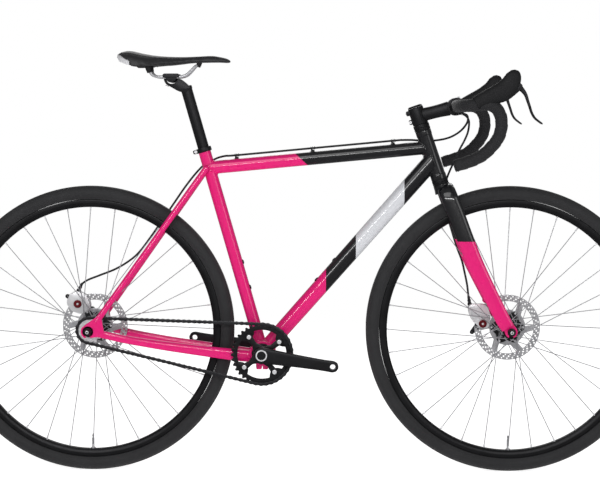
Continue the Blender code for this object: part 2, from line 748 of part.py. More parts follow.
def spoke_set(axle, flange_y, turn):
    """The spokes of one side of a wheel, laced so that each crosses three others, in two layers."""
    lean = SPOKE_CROSSES * 2 * math.pi / SPOKES_PER_SIDE
    rim_y = math.copysign(3 * MM, flange_y)
    rim_end = RIM_INNER * math.cos(math.pi / WHEEL_STEPS) - 0.6 * MM
    layers = []
    for first, sense in ((0, 1), (1, -1)):
        bm = bmesh.new()
        hub_y = flange_y + sense * 0.4 * SPOKE_RADIUS
        for index in range(first, SPOKES_PER_SIDE, 2):
            hub_angle = 2 * math.pi * index / SPOKES_PER_SIDE + turn
            rim_angle = hub_angle + sense * lean
            start = Vector((FLANGE_RADIUS * math.cos(hub_angle), hub_y, FLANGE_RADIUS * math.sin(hub_angle)))
            end = Vector((rim_end * math.cos(rim_angle), rim_y, rim_end * math.sin(rim_angle)))
            spoke = rod(axle + start, axle + end, (SPOKE_RADIUS, SPOKE_RADIUS), 3)
            mesh = bpy.data.meshes.new("spoke")
            spoke.to_mesh(mesh)
            spoke.free()
            bm.from_mesh(mesh)
            bpy.data.meshes.remove(mesh)
        layers.append(bm)
    return layers


def make_rotor(name, axle, y):
    low = y - ROTOR_THICKNESS / 2
    high = y + ROTOR_THICKNESS / 2
    part = new_object(name, cross_rod(axle, low, high, ROTOR_RADIUS, 30), "silver_alloy")
    cut(part, new_object("tool", cross_rod(axle, low - PAST, high + PAST, 17 * MM, 16)))
    for middle in range(30, 360, 60):
        outline = arc((axle.x, axle.z), 64 * MM, middle - 23, middle + 23, 3)
        outline += arc((axle.x, axle.z), 44 * MM, middle + 20, middle - 20, 2)
        cut(part, new_object("tool", plate(outline, low - PAST, high + PAST)))
    return part


def make_wheel(end, axle, hub_rows, flanges, rotor_y):
    """Hub rows are (y, radius) in mm from the right end to the left; flanges are the two spoke lines."""
    parts = [
        new_object(end + "_tyre", turned(tyre_profile(), axle, ACROSS, WHEEL_STEPS), "rubber"),
        new_object(end + "_rim", turned(rim_profile(), axle, ACROSS, WHEEL_STEPS), "black_alloy"),
        new_object(end + "_hub", turned(hub_profile(hub_rows), axle, ACROSS, 16), "black_alloy"),
        make_rotor(end + "_rotor", axle, rotor_y),
    ]
    for side, flange_y, turn in (("right", flanges[0], 0), ("left", flanges[1], math.pi / SPOKES_PER_SIDE)):
        outer, inner = spoke_set(axle, flange_y, turn)
        spokes = new_object(end + "_spokes_" + side, outer, "steel")
        join(spokes, new_object("tool", inner))
        parts.append(spokes)
    hang_on(end + "_wheel_axis", axle, parts)


def hub_profile(rows):
    bore = AXLE_RADIUS + 0.5 * MM
    points = [(along * MM, radius * MM) for along, radius in rows]
    return [(points[0][0], bore), *points, (points[-1][0], bore)]


def make_wheels():
    front = [
        (-49.7, 8), (-36, 9), (-36, 21), (-32.5, 21), (-32.5, 12), (19, 12), (19, 22),
        (22.5, 22), (22.5, 15), (38.3, 15), (49.7, 8),
    ]
    rear = [
        (-67.2, 8), (-55, 9), (-55, 15), (-35.5, 15), (-35.5, 22), (-32, 22), (-32, 13), (28, 13),
        (28, 22), (31.5, 22), (31.5, 15), (50.9, 15), (67.2, 8),
    ]
    make_wheel("front", FRONT_AXLE, front, (-39.2 * MM, 25.7 * MM), FRONT_ROTOR_Y)
    make_wheel("rear", REAR_AXLE, rear, (-38.6 * MM, 34.7 * MM), REAR_ROTOR_Y)


# ---------------------------------------------------------------- axles, quick releases and brakes

def make_axle(end, axle, dropout_outer, lever_angle):
    """Skewer with a nut on the right and a round cam housing on the left, and its lever."""
    nut = dropout_outer + GAP
    nut_rows = [(-nut - 13 * MM, 0), (-nut - 13 * MM, 7 * MM), (-nut - 4 * MM, 10 * MM), (-nut, 10 * MM)]
    rod_rows = [(-nut, AXLE_RADIUS), (nut, AXLE_RADIUS)]
    cam_rows = [(nut, 10 * MM), (nut + 4 * MM, 10 * MM), (nut + 14 * MM, 8 * MM), (nut + 14 * MM, 0)]
    rows = nut_rows + rod_rows + cam_rows
    new_object(end + "_axle_skewer", turned(rows, axle, ACROSS, 12, ring=False), "black_alloy")
    rise = Vector((math.cos(lever_angle), 0, math.sin(lever_angle)))
    foot = axle + ACROSS * (nut + 20 * MM)
    points = [foot - rise * 3 * MM, foot, foot + rise * 22 * MM, foot + rise * 46 * MM - ACROSS * 3 * MM]
    sizes = [(3.6 * MM, 6 * MM), (3.8 * MM, 7 * MM), (3.4 * MM, 6.5 * MM), (2.6 * MM, 7.5 * MM)]
    lever = new_object(end + "_qr_lever", sweep(points, sizes, 10), "black_alloy")
    hang_on(end + "_qr_pivot", foot, [lever])


FRONT_BRAKE_PIVOT = Vector((445, 0, 357)) * MM
REAR_BRAKE_PIVOT = Vector((-547, 0, 402)) * MM


def make_brake(end, axle, rotor_y, outline, low_y, high_y, pivot, arm_end):
    """Caliper with a slot for the rotor, and the arm that the cable pulls."""
    body = new_object(end + "_caliper_body", plate(outline_in_mm(outline), low_y, high_y), "black_alloy")
    slot = cross_rod(axle, rotor_y - 2.2 * MM, rotor_y + 2.2 * MM, ROTOR_RADIUS + 3 * MM, 36)
    cut(body, new_object("tool", slot))
    arm_low = high_y + GAP
    arm_high = arm_low + 7 * MM
    shape = hull_of_circles([(pivot.x, pivot.z, 11 * MM), (arm_end[0] * MM, arm_end[1] * MM, 5 * MM)])
    arm = new_object(end + "_caliper_arm", plate(shape, arm_low, arm_high), "black_alloy")
    hang_on(end + "_caliper_pivot", pivot, [arm])


def make_brakes():
    front = [
        (410, 386), (418, 366), (440, 345), (458, 345),
        (464, 360), (463, 384), (452, 404.5), (411, 404.5),
    ]
    make_brake("front", FRONT_AXLE, FRONT_ROTOR_Y, front, 26 * MM, 51.5 * MM, FRONT_BRAKE_PIVOT, (421, 333))
    rear = [
        (-521, 384), (-515, 398), (-526, 424), (-548, 434),
        (-566, 428), (-576, 406), (-566, 386), (-540, 376),
    ]
    make_brake("rear", REAR_AXLE, REAR_ROTOR_Y, rear, 39 * MM, 67.2 * MM, REAR_BRAKE_PIVOT, (-577, 418))


# Brake housings from the bar tape to the calipers, in mm
HOUSING_STEP = 30 * MM
REAR_HOUSING_ROUTE = [
    (386, -62, 868), (398, -46, 862), (399, -30, 846), (385, -8, 826), (362, 13, 811),
    (335, 26, 804), (305, 30, 802), (270, 17, 804), (245, 4.5, 804), (224, 0, 802.5),
    (31, 0, 784.7), (-152, 0, 767.7), (-178, 4, 766), (-199, 14, 761), (-217, 24, 752),
    (-240, 29, 738), (-275, 31, 697), (-320, 37, 633), (-365, 43, 569), (-395, 48, 530),
    (-420, 51, 508), (-455, 55, 487), (-495, 57, 471), (-525, 59, 459), (-540, 60, 448),
    (-546, 60, 436),
]
FRONT_HOUSING_ROUTE = [
    (386, 62, 868), (400, 52, 864), (409, 44, 850), (407, 38, 826), (399, 35, 805),
    (387, 36, 782), (372, 44, 748), (358, 57, 712), (350, 63, 675), (356, 62, 630),
    (368, 62, 590), (382, 60, 545), (395, 56, 510), (402, 52, 480), (408, 48, 450),
    (411, 46, 425), (414, 46, 406),
]


def make_housing(name, route):
    curve = bpy.data.curves.new(name, "CURVE")
    curve.dimensions = "3D"
    curve.bevel_depth = HOUSING_RADIUS
    curve.bevel_resolution = 2
    curve.use_fill_caps = True
    path = smooth_path(vectors(route), HOUSING_STEP)
    spline = curve.splines.new("POLY")
    spline.points.add(len(path) - 1)
    for point, place in zip(spline.points, path):
        point.co = (*place, 1)
    part = bpy.data.objects.new(name, curve)
    bpy.context.scene.collection.objects.link(part)
    dress(part, "plastic")


# ---------------------------------------------------------------- drive

def sprocket_radius(teeth):
    return CHAIN_PITCH / (2 * math.sin(math.pi / teeth))


def toothed_outline(centre, teeth, turn):
    """(x, z) outline of a sprocket, four points to a tooth."""
    pitch = 2 * math.pi / teeth
    root = sprocket_radius(teeth) - 3.6 * MM
    tip = sprocket_radius(teeth) + 2.0 * MM
    points = []
    for tooth in range(teeth):
        for offset, radius in ((-0.28, root), (-0.1, tip), (0.1, tip), (0.28, root)):
            angle = turn + (tooth + offset) * pitch
            points.append((centre.x + radius * math.cos(angle), centre.z + radius * math.sin(angle)))
    return points


def crank_point(distance, angle=0.0):
    """(x, z) at a distance from the bracket, at an angle in degrees from the right crank arm."""
    turn = CRANK_ANGLE + math.radians(angle)
    return (BRACKET.x + distance * math.cos(turn), BRACKET.z + distance * math.sin(turn))


def sprocket_plate(centre, teeth, turn):
    low = CHAIN_LINE - SPROCKET_HALF_WIDTH
    high = CHAIN_LINE + SPROCKET_HALF_WIDTH
    return plate(toothed_outline(centre, teeth, turn), low, high)


def make_chainring():
    """Toothed ring whose round opening leaves four tabs for the bolts."""
    ring = new_object("chainring", sprocket_plate(BRACKET, RING_TEETH, CRANK_ANGLE), "black_alloy")
    wide, narrow = 61 * MM, 46 * MM
    hole = []
    for tab in BOLT_TABS:
        hole += [crank_point(wide, tab + turn) for turn in (-30, -15, -11)]
        hole += [crank_point(narrow, tab + turn) for turn in (-9, 9)]
        hole.append(crank_point(wide, tab + 11))
    cut(ring, new_object("tool", plate(hole, CHAIN_LINE - PAST, CHAIN_LINE + PAST)))
    return ring


def make_crank_arm(name, side, angle):
    """Arm with its boss; side is the sign of y, angle turns it from the right arm's direction."""
    root = crank_point(0)
    end = crank_point(CRANK_LENGTH, angle)
    outline = hull_of_circles([(*root, 19 * MM), (*end, 14 * MM)], 20)
    low, high = span(side, *CRANK_FACES)
    arm = new_object(name, plate(outline, low, high), "black_alloy")
    low_boss, high_boss = span(side, 40.5 * MM, 66 * MM)
    join(arm, new_object("tool", cross_rod(BRACKET, low_boss, high_boss, 18 * MM, TUBE_SIDES)))
    pedal = Vector((end[0], 0, end[1]))
    cut(arm, new_object("tool", cross_rod(pedal, low - PAST, high + PAST, 7 * MM, 12)))
    return arm


def make_cranks():
    right = make_crank_arm("crank_arm_right", -1, 0)
    spider_face = CHAIN_LINE - SPROCKET_HALF_WIDTH - GAP
    for tab in BOLT_TABS:
        root = (*crank_point(8 * MM, tab), 9 * MM)
        bolt = (*crank_point(BOLT_CIRCLE_RADIUS, tab), 7.5 * MM)
        spider = hull_of_circles([root, bolt])
        join(right, new_object("tool", plate(spider, CHAIN_LINE - 8 * MM, spider_face)))
    bore = clear_radius(SPINDLE_RADIUS, TUBE_SIDES)
    cut(right, new_object("tool", cross_rod(BRACKET, -100 * MM, -30 * MM, bore, TUBE_SIDES)))
    left = make_crank_arm("crank_arm_left", 1, 180)
    join(left, new_object("tool", cross_rod(BRACKET, -70 * MM, 45 * MM, SPINDLE_RADIUS, TUBE_SIDES)))
    hang_on("crank_axis", BRACKET, [right, left, make_chainring()])


def chain_loop():
    """Points of the chain's centre line with the outward direction at each, round ring and cog."""
    ring_radius = sprocket_radius(RING_TEETH)
    cog_radius = sprocket_radius(COG_TEETH)
    line = BRACKET - REAR_AXLE
    slope = math.atan2(line.z, line.x)
    spread = math.asin((ring_radius - cog_radius) / line.length)
    upper = slope + math.pi / 2 + spread
    lower = slope - math.pi / 2 - spread
    stations = []
    for centre, radius, first, last, steps in (
        (BRACKET, ring_radius, upper, lower, 20),
        (REAR_AXLE, cog_radius, lower, upper - 2 * math.pi, 9),
    ):
        for step in range(steps + 1):
            angle = first + (last - first) * step / steps
            outward = Vector((math.cos(angle), 0, math.sin(angle)))
            stations.append((centre + outward * radius, outward))
    return stations


# The chain as a closed band: its slot holds the sprockets' teeth and its web runs outside their tips;
# rows are the distance outward from the chain's line and y from the chain line, in mm
CHAIN_SECTION = [
    (-4.2, -4.0), (4.4, -4.0), (4.4, 4.0), (-4.2, 4.0),
    (-4.2, 1.7), (2.9, 1.7), (2.9, -1.7), (-4.2, -1.7),
]


def make_chain():
    rings = []
    for point, outward in chain_loop():
        middle = point + ACROSS * CHAIN_LINE
        rings.append([middle + (outward * out + ACROSS * y) * MM for out, y in CHAIN_SECTION])
    new_object("chain", skin(rings, closed=True), "steel")


def make_cog():
    cog = new_object("freewheel_cog", sprocket_plate(REAR_AXLE, COG_TEETH, 0), "steel")
    body = cross_rod(REAR_AXLE, CHAIN_LINE - 8 * MM, CHAIN_LINE + 4 * MM, 22 * MM, 20)
    join(cog, new_object("tool", body))
    bore = clear_radius(15 * MM + GAP, 20)
    cut(cog, new_object("tool", cross_rod(REAR_AXLE, CHAIN_LINE - 15 * MM, CHAIN_LINE + 15 * MM, bore, 20)))
    hang_on("freewheel_axis", REAR_AXLE, [cog])


# ---------------------------------------------------------------- seatpost and saddle

# Saddle sections from the rear: x, half width, underside z and top z, in mm
SADDLE_STATIONS = [
    (-437, 38, 998, 1012), (-430, 57, 985, 1018), (-405, 70, 974, 1017), (-375, 70, 971, 1010),
    (-345, 58, 974, 1005), (-310, 42, 980, 1002.5), (-275, 30, 985.5, 1002), (-240, 23, 988, 1003.5),
    (-205, 19.5, 988, 1005.5), (-180, 17.5, 986.5, 1004), (-168, 13.5, 986.5, 1000.5), (-163, 8, 989, 996.5),
]
RAIL_ROUTE = [
    (-359, 30, 968.5), (-352, 28, 959.5), (-341, 24, 955.3), (-325, 22, 955), (-290, 22, 955),
    (-273, 19, 959), (-262, 15, 968), (-251, 9, 980), (-245, 0, 983.5),
]
SEATPOST_HEAD = [(-328, 951), (-322, 938), (-292, 921), (-275, 916), (-262, 928), (-270, 938), (-287, 951)]
CRADLE_RADIUS = 16 * MM


def make_seatpost():
    ends = (on_seat_tube(SEAT_TUBE_LENGTH - SEATPOST_DEPTH), on_seat_tube(SEATPOST_TOP))
    post = new_object("seatpost", rod(*ends, (SEATPOST_RADIUS, SEATPOST_RADIUS), TUBE_SIDES), "black_alloy")
    join(post, new_object("tool", plate(outline_in_mm(SEATPOST_HEAD), -15 * MM, 15 * MM)))
    cradle = cross_rod(SADDLE_AXIS, -30 * MM, 30 * MM, clear_radius(CRADLE_RADIUS, 24), 24)
    cut(post, new_object("tool", cradle))
    hang_on("seatpost_axis", on_seat_tube(SEAT_TUBE_LENGTH), [post])


def rail_points():
    half = vectors(RAIL_ROUTE)
    return half + on_side(reversed(half[:-1]), -1)


def make_saddle():
    points = [Vector((x, 0, (low + high) / 2)) * MM for x, wide, low, high in SADDLE_STATIONS]
    sizes = [(wide * MM, (high - low) / 2 * MM) for x, wide, low, high in SADDLE_STATIONS]
    frames = [(point, ACROSS, Vector((0, 0, 1))) for point in points]
    saddle = new_object("saddle", skin(rings_on(frames, sizes, 14)), "leather")
    sizes = [(RAIL_RADIUS, RAIL_RADIUS)] * len(rail_points())
    rails = new_object("saddle_rails", sweep(rail_points(), sizes, 8), "steel")
    hang_on("saddle_axis", SADDLE_AXIS, [saddle, rails, make_saddle_clamp()])


def make_saddle_clamp():
    """Half-round block that turns in the post's cradle, with grooves for the two rails."""
    x, z = SADDLE_AXIS.x, SADDLE_AXIS.z
    outline = arc((x, z), CRADLE_RADIUS, 180, 360, 12)
    outline += [(x + 20 * MM, z + 2 * MM), (x + 20 * MM, z + 8 * MM)]
    outline += [(x - 20 * MM, z + 8 * MM), (x - 20 * MM, z + 2 * MM)]
    clamp = new_object("saddle_clamp", plate(outline, -27 * MM, 27 * MM), "black_alloy")
    groove = clear_radius(RAIL_RADIUS + GAP, 8)
    cut(clamp, new_object("tool", sweep(rail_points(), [(groove, groove)] * len(rail_points()), 8)))
    return clamp


# ---------------------------------------------------------------- assembly

def make_frame():
    make_head_tube()
    make_top_tube()
    down_along = (on_steering(DOWN_TUBE_AT_HEAD) - BRACKET).normalized()
    down_out = Vector((-down_along.z, 0, down_along.x))
    add_bottle_bosses(make_down_tube(), down_along, down_out, 21.5 * MM, (219 * MM, 283 * MM))
    seat_out = Vector((SEAT_UP.z, 0, -SEAT_UP.x))
    add_bottle_bosses(make_seat_tube(), SEAT_UP, seat_out, 17.2 * MM, (160 * MM, 224 * MM))
    make_bracket_shell()
    make_bracket_cups()
    make_stays()
    make_dropouts()
    make_seat_clamp()


def main():
    for old in list(bpy.data.objects):
        bpy.data.objects.remove(old, do_unlink=True)
    make_frame()
    make_crown()
    make_blades()
    make_stem()
    make_bar()
    make_controls()
    make_wheels()
    make_axle("front", FRONT_AXLE, FORK_TIP_OUTER, math.radians(100))
    make_axle("rear", REAR_AXLE, DROPOUT_INNER + DROPOUT_THICKNESS, math.radians(110))
    make_brakes()
    make_housing("rear_brake_housing", REAR_HOUSING_ROUTE)
    make_housing("front_brake_housing", FRONT_HOUSING_ROUTE)
    make_cranks()
    make_chain()
    make_cog()
    make_seatpost()
    make_saddle()
    for part in bpy.data.objects:
        if part.type == "MESH":
            part.data.shade_smooth()
            part.data.set_sharp_from_angle(angle=math.radians(35))


main()
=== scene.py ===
"""Looks of the road bicycle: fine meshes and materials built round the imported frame, in its own frame.

Lengths in this script are millimetres until a mesh is made. +X points forward, +Y to the rider's
left and +Z up. A piece that stands for a CAD node is named after it, with "_fine" at the end.
"""

import json
import math

import bmesh
import bpy
import numpy as np
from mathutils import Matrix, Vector
from mathutils.bvhtree import BVHTree
from mathutils.geometry import convex_hull_2d

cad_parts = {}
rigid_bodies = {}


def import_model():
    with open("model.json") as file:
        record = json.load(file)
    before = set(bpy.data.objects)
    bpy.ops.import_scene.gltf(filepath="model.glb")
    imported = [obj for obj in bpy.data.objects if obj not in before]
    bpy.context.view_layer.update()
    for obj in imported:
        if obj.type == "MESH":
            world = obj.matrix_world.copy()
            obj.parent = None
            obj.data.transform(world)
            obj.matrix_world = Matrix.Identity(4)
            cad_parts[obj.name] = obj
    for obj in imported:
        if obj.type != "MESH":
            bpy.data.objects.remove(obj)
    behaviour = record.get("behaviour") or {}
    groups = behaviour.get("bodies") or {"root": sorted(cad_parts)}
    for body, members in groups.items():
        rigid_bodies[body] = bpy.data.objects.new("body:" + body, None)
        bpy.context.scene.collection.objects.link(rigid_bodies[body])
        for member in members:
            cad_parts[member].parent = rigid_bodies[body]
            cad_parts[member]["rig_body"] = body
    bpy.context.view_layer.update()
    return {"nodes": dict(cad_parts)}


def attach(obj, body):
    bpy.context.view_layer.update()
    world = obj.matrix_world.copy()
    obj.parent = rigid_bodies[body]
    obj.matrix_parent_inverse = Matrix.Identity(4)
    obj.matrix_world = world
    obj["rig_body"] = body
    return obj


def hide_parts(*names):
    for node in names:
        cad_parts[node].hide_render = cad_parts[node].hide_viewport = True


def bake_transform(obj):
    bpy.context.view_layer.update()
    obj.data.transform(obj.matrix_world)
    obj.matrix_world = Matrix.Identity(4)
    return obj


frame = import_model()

MM = 0.001
TURN = 2 * math.pi


def vec(*values):
    return np.array(values, float)


def unit(vector):
    return vector / np.linalg.norm(vector)


def upright(angle):
    """Unit vector in the XZ plane at an angle in radians from +X towards +Z."""
    return vec(math.cos(angle), 0, math.sin(angle))


def flat(point):
    """The (x, z) of a point."""
    return point[0], point[2]


def mirror(points):
    """The same points on the other side of the bicycle."""
    return np.asarray(points, float) * vec(1, -1, 1)


# Driving dimensions, as in the CAD model
ACROSS = vec(0, 1, 0)
UP = vec(0, 0, 1)
FORWARD = vec(1, 0, 0)
WHEEL_RADIUS = 347
REAR_AXLE = vec(-506, 0, WHEEL_RADIUS)
FRONT_AXLE = vec(506, 0, WHEEL_RADIUS)
CHAINSTAY_LENGTH = 419
BRACKET_DROP = 56.5
BRACKET = REAR_AXLE + vec(math.sqrt(CHAINSTAY_LENGTH**2 - BRACKET_DROP**2), 0, -BRACKET_DROP)
SEAT_ANGLE = math.radians(74)
HEAD_ANGLE = math.radians(71)
FORK_OFFSET = 43
SEAT_UP = vec(-math.cos(SEAT_ANGLE), 0, math.sin(SEAT_ANGLE))
STEER_UP = vec(-math.cos(HEAD_ANGLE), 0, math.sin(HEAD_ANGLE))
STEER_FORWARD = vec(math.sin(HEAD_ANGLE), 0, math.cos(HEAD_ANGLE))
STEER_FOOT = FRONT_AXLE - STEER_FORWARD * FORK_OFFSET

SEAT_TUBE_RADIUS = 14.9
SEAT_TUBE_LENGTH = 514
SEATPOST_RADIUS = 13.6
SEATPOST_TOP = 668
HEAD_TUBE_RADIUS = 18
HEAD_TUBE_BOTTOM = 398.7
HEAD_TUBE_TOP = 521.7
CUP_RADIUS = 19.5
STEERER_RADIUS = 14.3
TOP_TUBE_RADIUS = 15.9
TOP_TUBE_AT_SEAT = 464.8
TOP_TUBE_AT_HEAD = 479.5
DOWN_TUBE_RADII = (18.5, 21)
DOWN_TUBE_AT_HEAD = 447.7
SHELL_RADIUS = 30
SHELL_HALF_WIDTH = 34
DROPOUT_SPAN = (67.5, 73.5)
FORK_TIP_OUTER = 63.3
AXLE_SLOT = 5.2
HOUSING_RADIUS = 2.5
GUIDE_PLACES = (224, 31, -152)
GUIDE_HEIGHT = 8

ROTOR_RADIUS = 80
ROTOR_THICKNESS = 1.8
FRONT_ROTOR_Y = 39.6
REAR_ROTOR_Y = 52.2
SPOKES_PER_SIDE = 16
SPOKE_CIRCLE_RADIUS = 19.6

CHAIN_PITCH = 12.7
RING_TEETH = 36
COG_TEETH = 15
CHAIN_LINE = -45
CRANK_LENGTH = 172.5
CRANK_ANGLE = -8.9
BOLT_CIRCLE_RADIUS = 52
RING_TABS = (45, 135, 225, 315)

BAR_CENTRE = vec(374, 0, 884)
BAR_RADIUS = 11.9
BAR_CLAMP_RADIUS = 15.9
TAPE_RADIUS = 14.8
LEVER_PIVOT = vec(501, 210, 927)
SADDLE_AXIS = vec(-308, 0, 955)
RAIL_RADIUS = 3.5


def on_seat_tube(distance):
    return BRACKET + SEAT_UP * distance


def on_steering(distance, forward=0, y=0):
    return STEER_FOOT + STEER_UP * distance + STEER_FORWARD * forward + ACROSS * y


# ---------------------------------------------------------------- curves and outlines

def smooth_path(rows, spacing):
    """Catmull-Rom curve through rows of numbers, read at about the given spacing of the first three."""
    rows = np.asarray(rows, float)
    padded = np.vstack([2 * rows[0] - rows[1], rows, 2 * rows[-1] - rows[-2]])
    path = []
    for before, start, end, after in zip(padded, padded[1:], padded[2:], padded[3:]):
        steps = max(1, round(np.linalg.norm((end - start)[:3]) / spacing))
        for t in np.arange(steps) / steps:
            path.append(
                0.5 * (2 * start + (end - before) * t + (2 * before - 5 * start + 4 * end - after) * t**2
                       + (3 * start - before - 3 * end + after) * t**3)
            )
    return np.array([*path, rows[-1]])


def arc(centre, radius, first, last, steps):
    """(x, z) points of an arc; angles in degrees from +X towards +Z."""
    angles = np.radians(np.linspace(first, last, steps + 1))
    return np.stack([centre[0] + radius * np.cos(angles), centre[1] + radius * np.sin(angles)], 1)


def circle(centre, radius, steps=32):
    return arc(centre, radius, 0, 360 * (steps - 1) / steps, steps - 1)


def wrapped(circles, steps=40):
    """(x, z) outline round circles given as (x, z, radius)."""
    points = np.vstack([circle((x, z), radius, steps) for x, z, radius in circles])
    return points[convex_hull_2d([Vector(p) for p in points])]


def rounded(outline, radius, steps=4, closed=True):
    """The outline with each corner replaced by a short curve."""
    outline = [np.asarray(p, float) for p in outline]
    made = []
    for index, corner in enumerate(outline):
        if not closed and index in (0, len(outline) - 1):
            made.append(corner)
            continue
        before = outline[index - 1]
        after = outline[(index + 1) % len(outline)]
        legs = [point - corner for point in (before, after)]
        ends = [corner + leg * min(radius / max(np.linalg.norm(leg), 1e-6), 0.49) for leg in legs]
        for t in np.linspace(0, 1, steps + 1):
            made.append(ends[0] * (1 - t)**2 + corner * 2 * t * (1 - t) + ends[1] * t**2)
    return np.array(made)


def frames_along(path, across=ACROSS, loop=False):
    """Tangents and two square directions along a path, turning as little as possible."""
    path = np.asarray(path, float)
    tangents = np.roll(path, -1, 0) - np.roll(path, 1, 0) if loop else np.gradient(path, axis=0)
    tangents = tangents / np.linalg.norm(tangents, axis=1)[:, None]
    sides = []
    for tangent in tangents:
        across = unit(across - tangent * (across @ tangent))
        sides.append(across)
    return path, np.array(sides), np.cross(tangents, sides)


def surface_crossing(origins, direction, point, axis, radius):
    """Distances along a direction at which lines leave a round surface about an axis through a point."""
    level = direction - axis * (direction @ axis)
    offsets = origins - point
    offsets = offsets - np.outer(offsets @ axis, axis)
    a = level @ level
    b = offsets @ level
    c = np.sum(offsets**2, 1) - radius**2
    return (-b + np.sqrt(np.maximum(b * b - a * c, 0))) / a


def square_to(axis):
    """Two directions square to an axis and to each other."""
    side = unit(np.cross(axis, UP if abs(axis[2]) < 0.9 else FORWARD))
    return side, np.cross(axis, side)


def evaluated(made):
    """The object's mesh with its modifiers applied."""
    bpy.context.view_layer.update()
    return bpy.data.meshes.new_from_object(made.evaluated_get(bpy.context.evaluated_depsgraph_get()))


def bake(made, mesh):
    """Gives an object the mesh and takes its modifiers away."""
    made.modifiers.clear()
    made.data = mesh
    mesh.shade_smooth()


def link(name, data):
    """A new object with the data, in the scene."""
    made = bpy.data.objects.new(name, data)
    bpy.context.scene.collection.objects.link(made)
    return made


# ---------------------------------------------------------------- surfaces

class Shape:
    """Gathers closed surfaces, and turns them into one piece."""

    def __init__(self):
        self.points = []
        self.faces = []
        self.count = 0

    def add(self, points, faces):
        points = np.asarray(points, float).reshape(-1, 3)
        self.points.append(points)
        self.faces += [tuple(index + self.count for index in face) for face in faces]
        self.count += len(points)
        return self

    def loft(self, rings, loop=False):
        """Skin through rings of equal size: capped at both ends, or closed on itself."""
        rings = np.asarray(rings, float)
        rows, columns = rings.shape[:2]
        faces = []
        for row in range(rows if loop else rows - 1):
            low, high = row * columns, (row + 1) % rows * columns
            for column in range(columns):
                after = (column + 1) % columns
                faces.append((low + column, low + after, high + after, high + column))
        if not loop:
            faces.append(tuple(range(columns)))
            faces.append(tuple(range((rows - 1) * columns, rows * columns)))
        return self.add(rings, faces)

    def sweep(self, path, wide, high=None, sides=24, across=ACROSS, loop=False, power=2):
        """Tube along a path; wide and high are half sizes, one number or one for each point or each vertex."""
        path, side, over = frames_along(path, across, loop)
        angles = TURN * (np.arange(sides) + 0.5) / sides
        cosine, sine = np.cos(angles), np.sin(angles)
        if power != 2:
            cosine = np.sign(cosine) * np.abs(cosine)**(2 / power)
            sine = np.sign(sine) * np.abs(sine)**(2 / power)
        wide = np.asarray(wide, float)
        high = wide if high is None else np.asarray(high, float)
        wide, high = (size[:, None] if size.ndim == 1 else size for size in (wide, high))
        rings = (path[:, None] + side[:, None] * (wide * cosine)[..., None]
                 + over[:, None] * (high * sine)[..., None])
        return self.loft(rings, loop)

    def turned(self, profile, origin, axis, steps=64, loop=False):
        """Turns (along, radius) points about an axis."""
        side, over = square_to(axis)
        angles = TURN * np.arange(steps) / steps
        spin = np.cos(angles)[:, None] * side + np.sin(angles)[:, None] * over
        return self.loft([origin + axis * along + spin * max(radius, 0.02) for along, radius in profile], loop)

    def ring(self, profile, corner, origin, axis, steps=96):
        """Turned ring with a hole through it and softened corners."""
        return self.turned(rounded(profile, corner), origin, axis, steps, loop=True)

    def knob(self, profile, corner, origin, axis, steps=72):
        """Turned solid whose profile starts and ends on the axis."""
        return self.turned(rounded(profile, corner, closed=False), origin, axis, steps)

    def rod(self, start, end, radius, chamfer=0.4, steps=32):
        """Straight round rod with softened ends."""
        length = np.linalg.norm(end - start)
        profile = [(0, 0), (0, radius), (length, radius), (length, 0)]
        return self.knob(profile, chamfer, start, unit(end - start), steps)

    def plate(self, outlines, low_y, high_y, bevel=0.4):
        """Flat plate in the XZ plane with softened edges; outlines after the first are holes."""
        curve = bpy.data.curves.new("outline", "CURVE")
        curve.dimensions = "2D"
        curve.fill_mode = "BOTH"
        curve.extrude = (high_y - low_y) / 2 - bevel
        curve.bevel_depth = bevel
        curve.bevel_resolution = 1
        curve.offset = -bevel
        for outline in outlines:
            spline = curve.splines.new("POLY")
            spline.points.add(len(outline) - 1)
            for point, (x, z) in zip(spline.points, outline):
                point.co = (x, z, 0, 1)
            spline.use_cyclic_u = True
        holder = link("outline", curve)
        mesh = bpy.data.meshes.new_from_object(holder)
        points = np.array([(v.co.x, (low_y + high_y) / 2 - v.co.z, v.co.y) for v in mesh.vertices])
        faces = [tuple(face.vertices) for face in mesh.polygons]
        bpy.data.objects.remove(holder)
        bpy.data.curves.remove(curve)
        bpy.data.meshes.remove(mesh)
        return self.add(points, faces)

    def bolt(self, centre, axis, radius, height, socket=0.55):
        """Round head that stands on a face, with a six-sided socket in its top."""
        steps = 24
        angles = TURN * np.arange(steps) / steps
        six = radius * socket * math.cos(math.pi / 6) / np.cos(angles % (TURN / 6) - math.pi / 6)
        side, over = square_to(axis)
        spin = np.cos(angles)[:, None] * side + np.sin(angles)[:, None] * over
        rings = []
        for along, size in ((-0.2, radius), (height * 0.75, radius), (height, radius * 0.86),
                            (height, six), (height * 0.3, six)):
            rings.append(centre + axis * along + spin * (np.ones(steps) * size)[:, None])
        return self.loft(rings)

    def mirrored(self):
        """Turns the shape into its mirror image on the other side of the bicycle."""
        self.points = [mirror(points) for points in self.points]
        self.faces = [face[::-1] for face in self.faces]
        return self

    def piece(self, name, material, body=None, node=None, smooth=35):
        """One object that rides a body; where it stands for a CAD node it rides the node's body."""
        mesh = bpy.data.meshes.new(name)
        mesh.from_pydata([tuple(p) for p in np.vstack(self.points) * MM], [], self.faces)
        mesh.materials.append(Material.made[material])
        bm = bmesh.new()
        bm.from_mesh(mesh)
        bmesh.ops.remove_doubles(bm, verts=bm.verts, dist=1e-6)
        bmesh.ops.recalc_face_normals(bm, faces=bm.faces)
        bm.to_mesh(mesh)
        bm.free()
        mesh.shade_smooth()
        mesh.set_sharp_from_angle(angle=math.radians(smooth))
        made = link(name, mesh)
        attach(made, body or frame["nodes"][node]["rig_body"])
        if node:
            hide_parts(node)
        return made

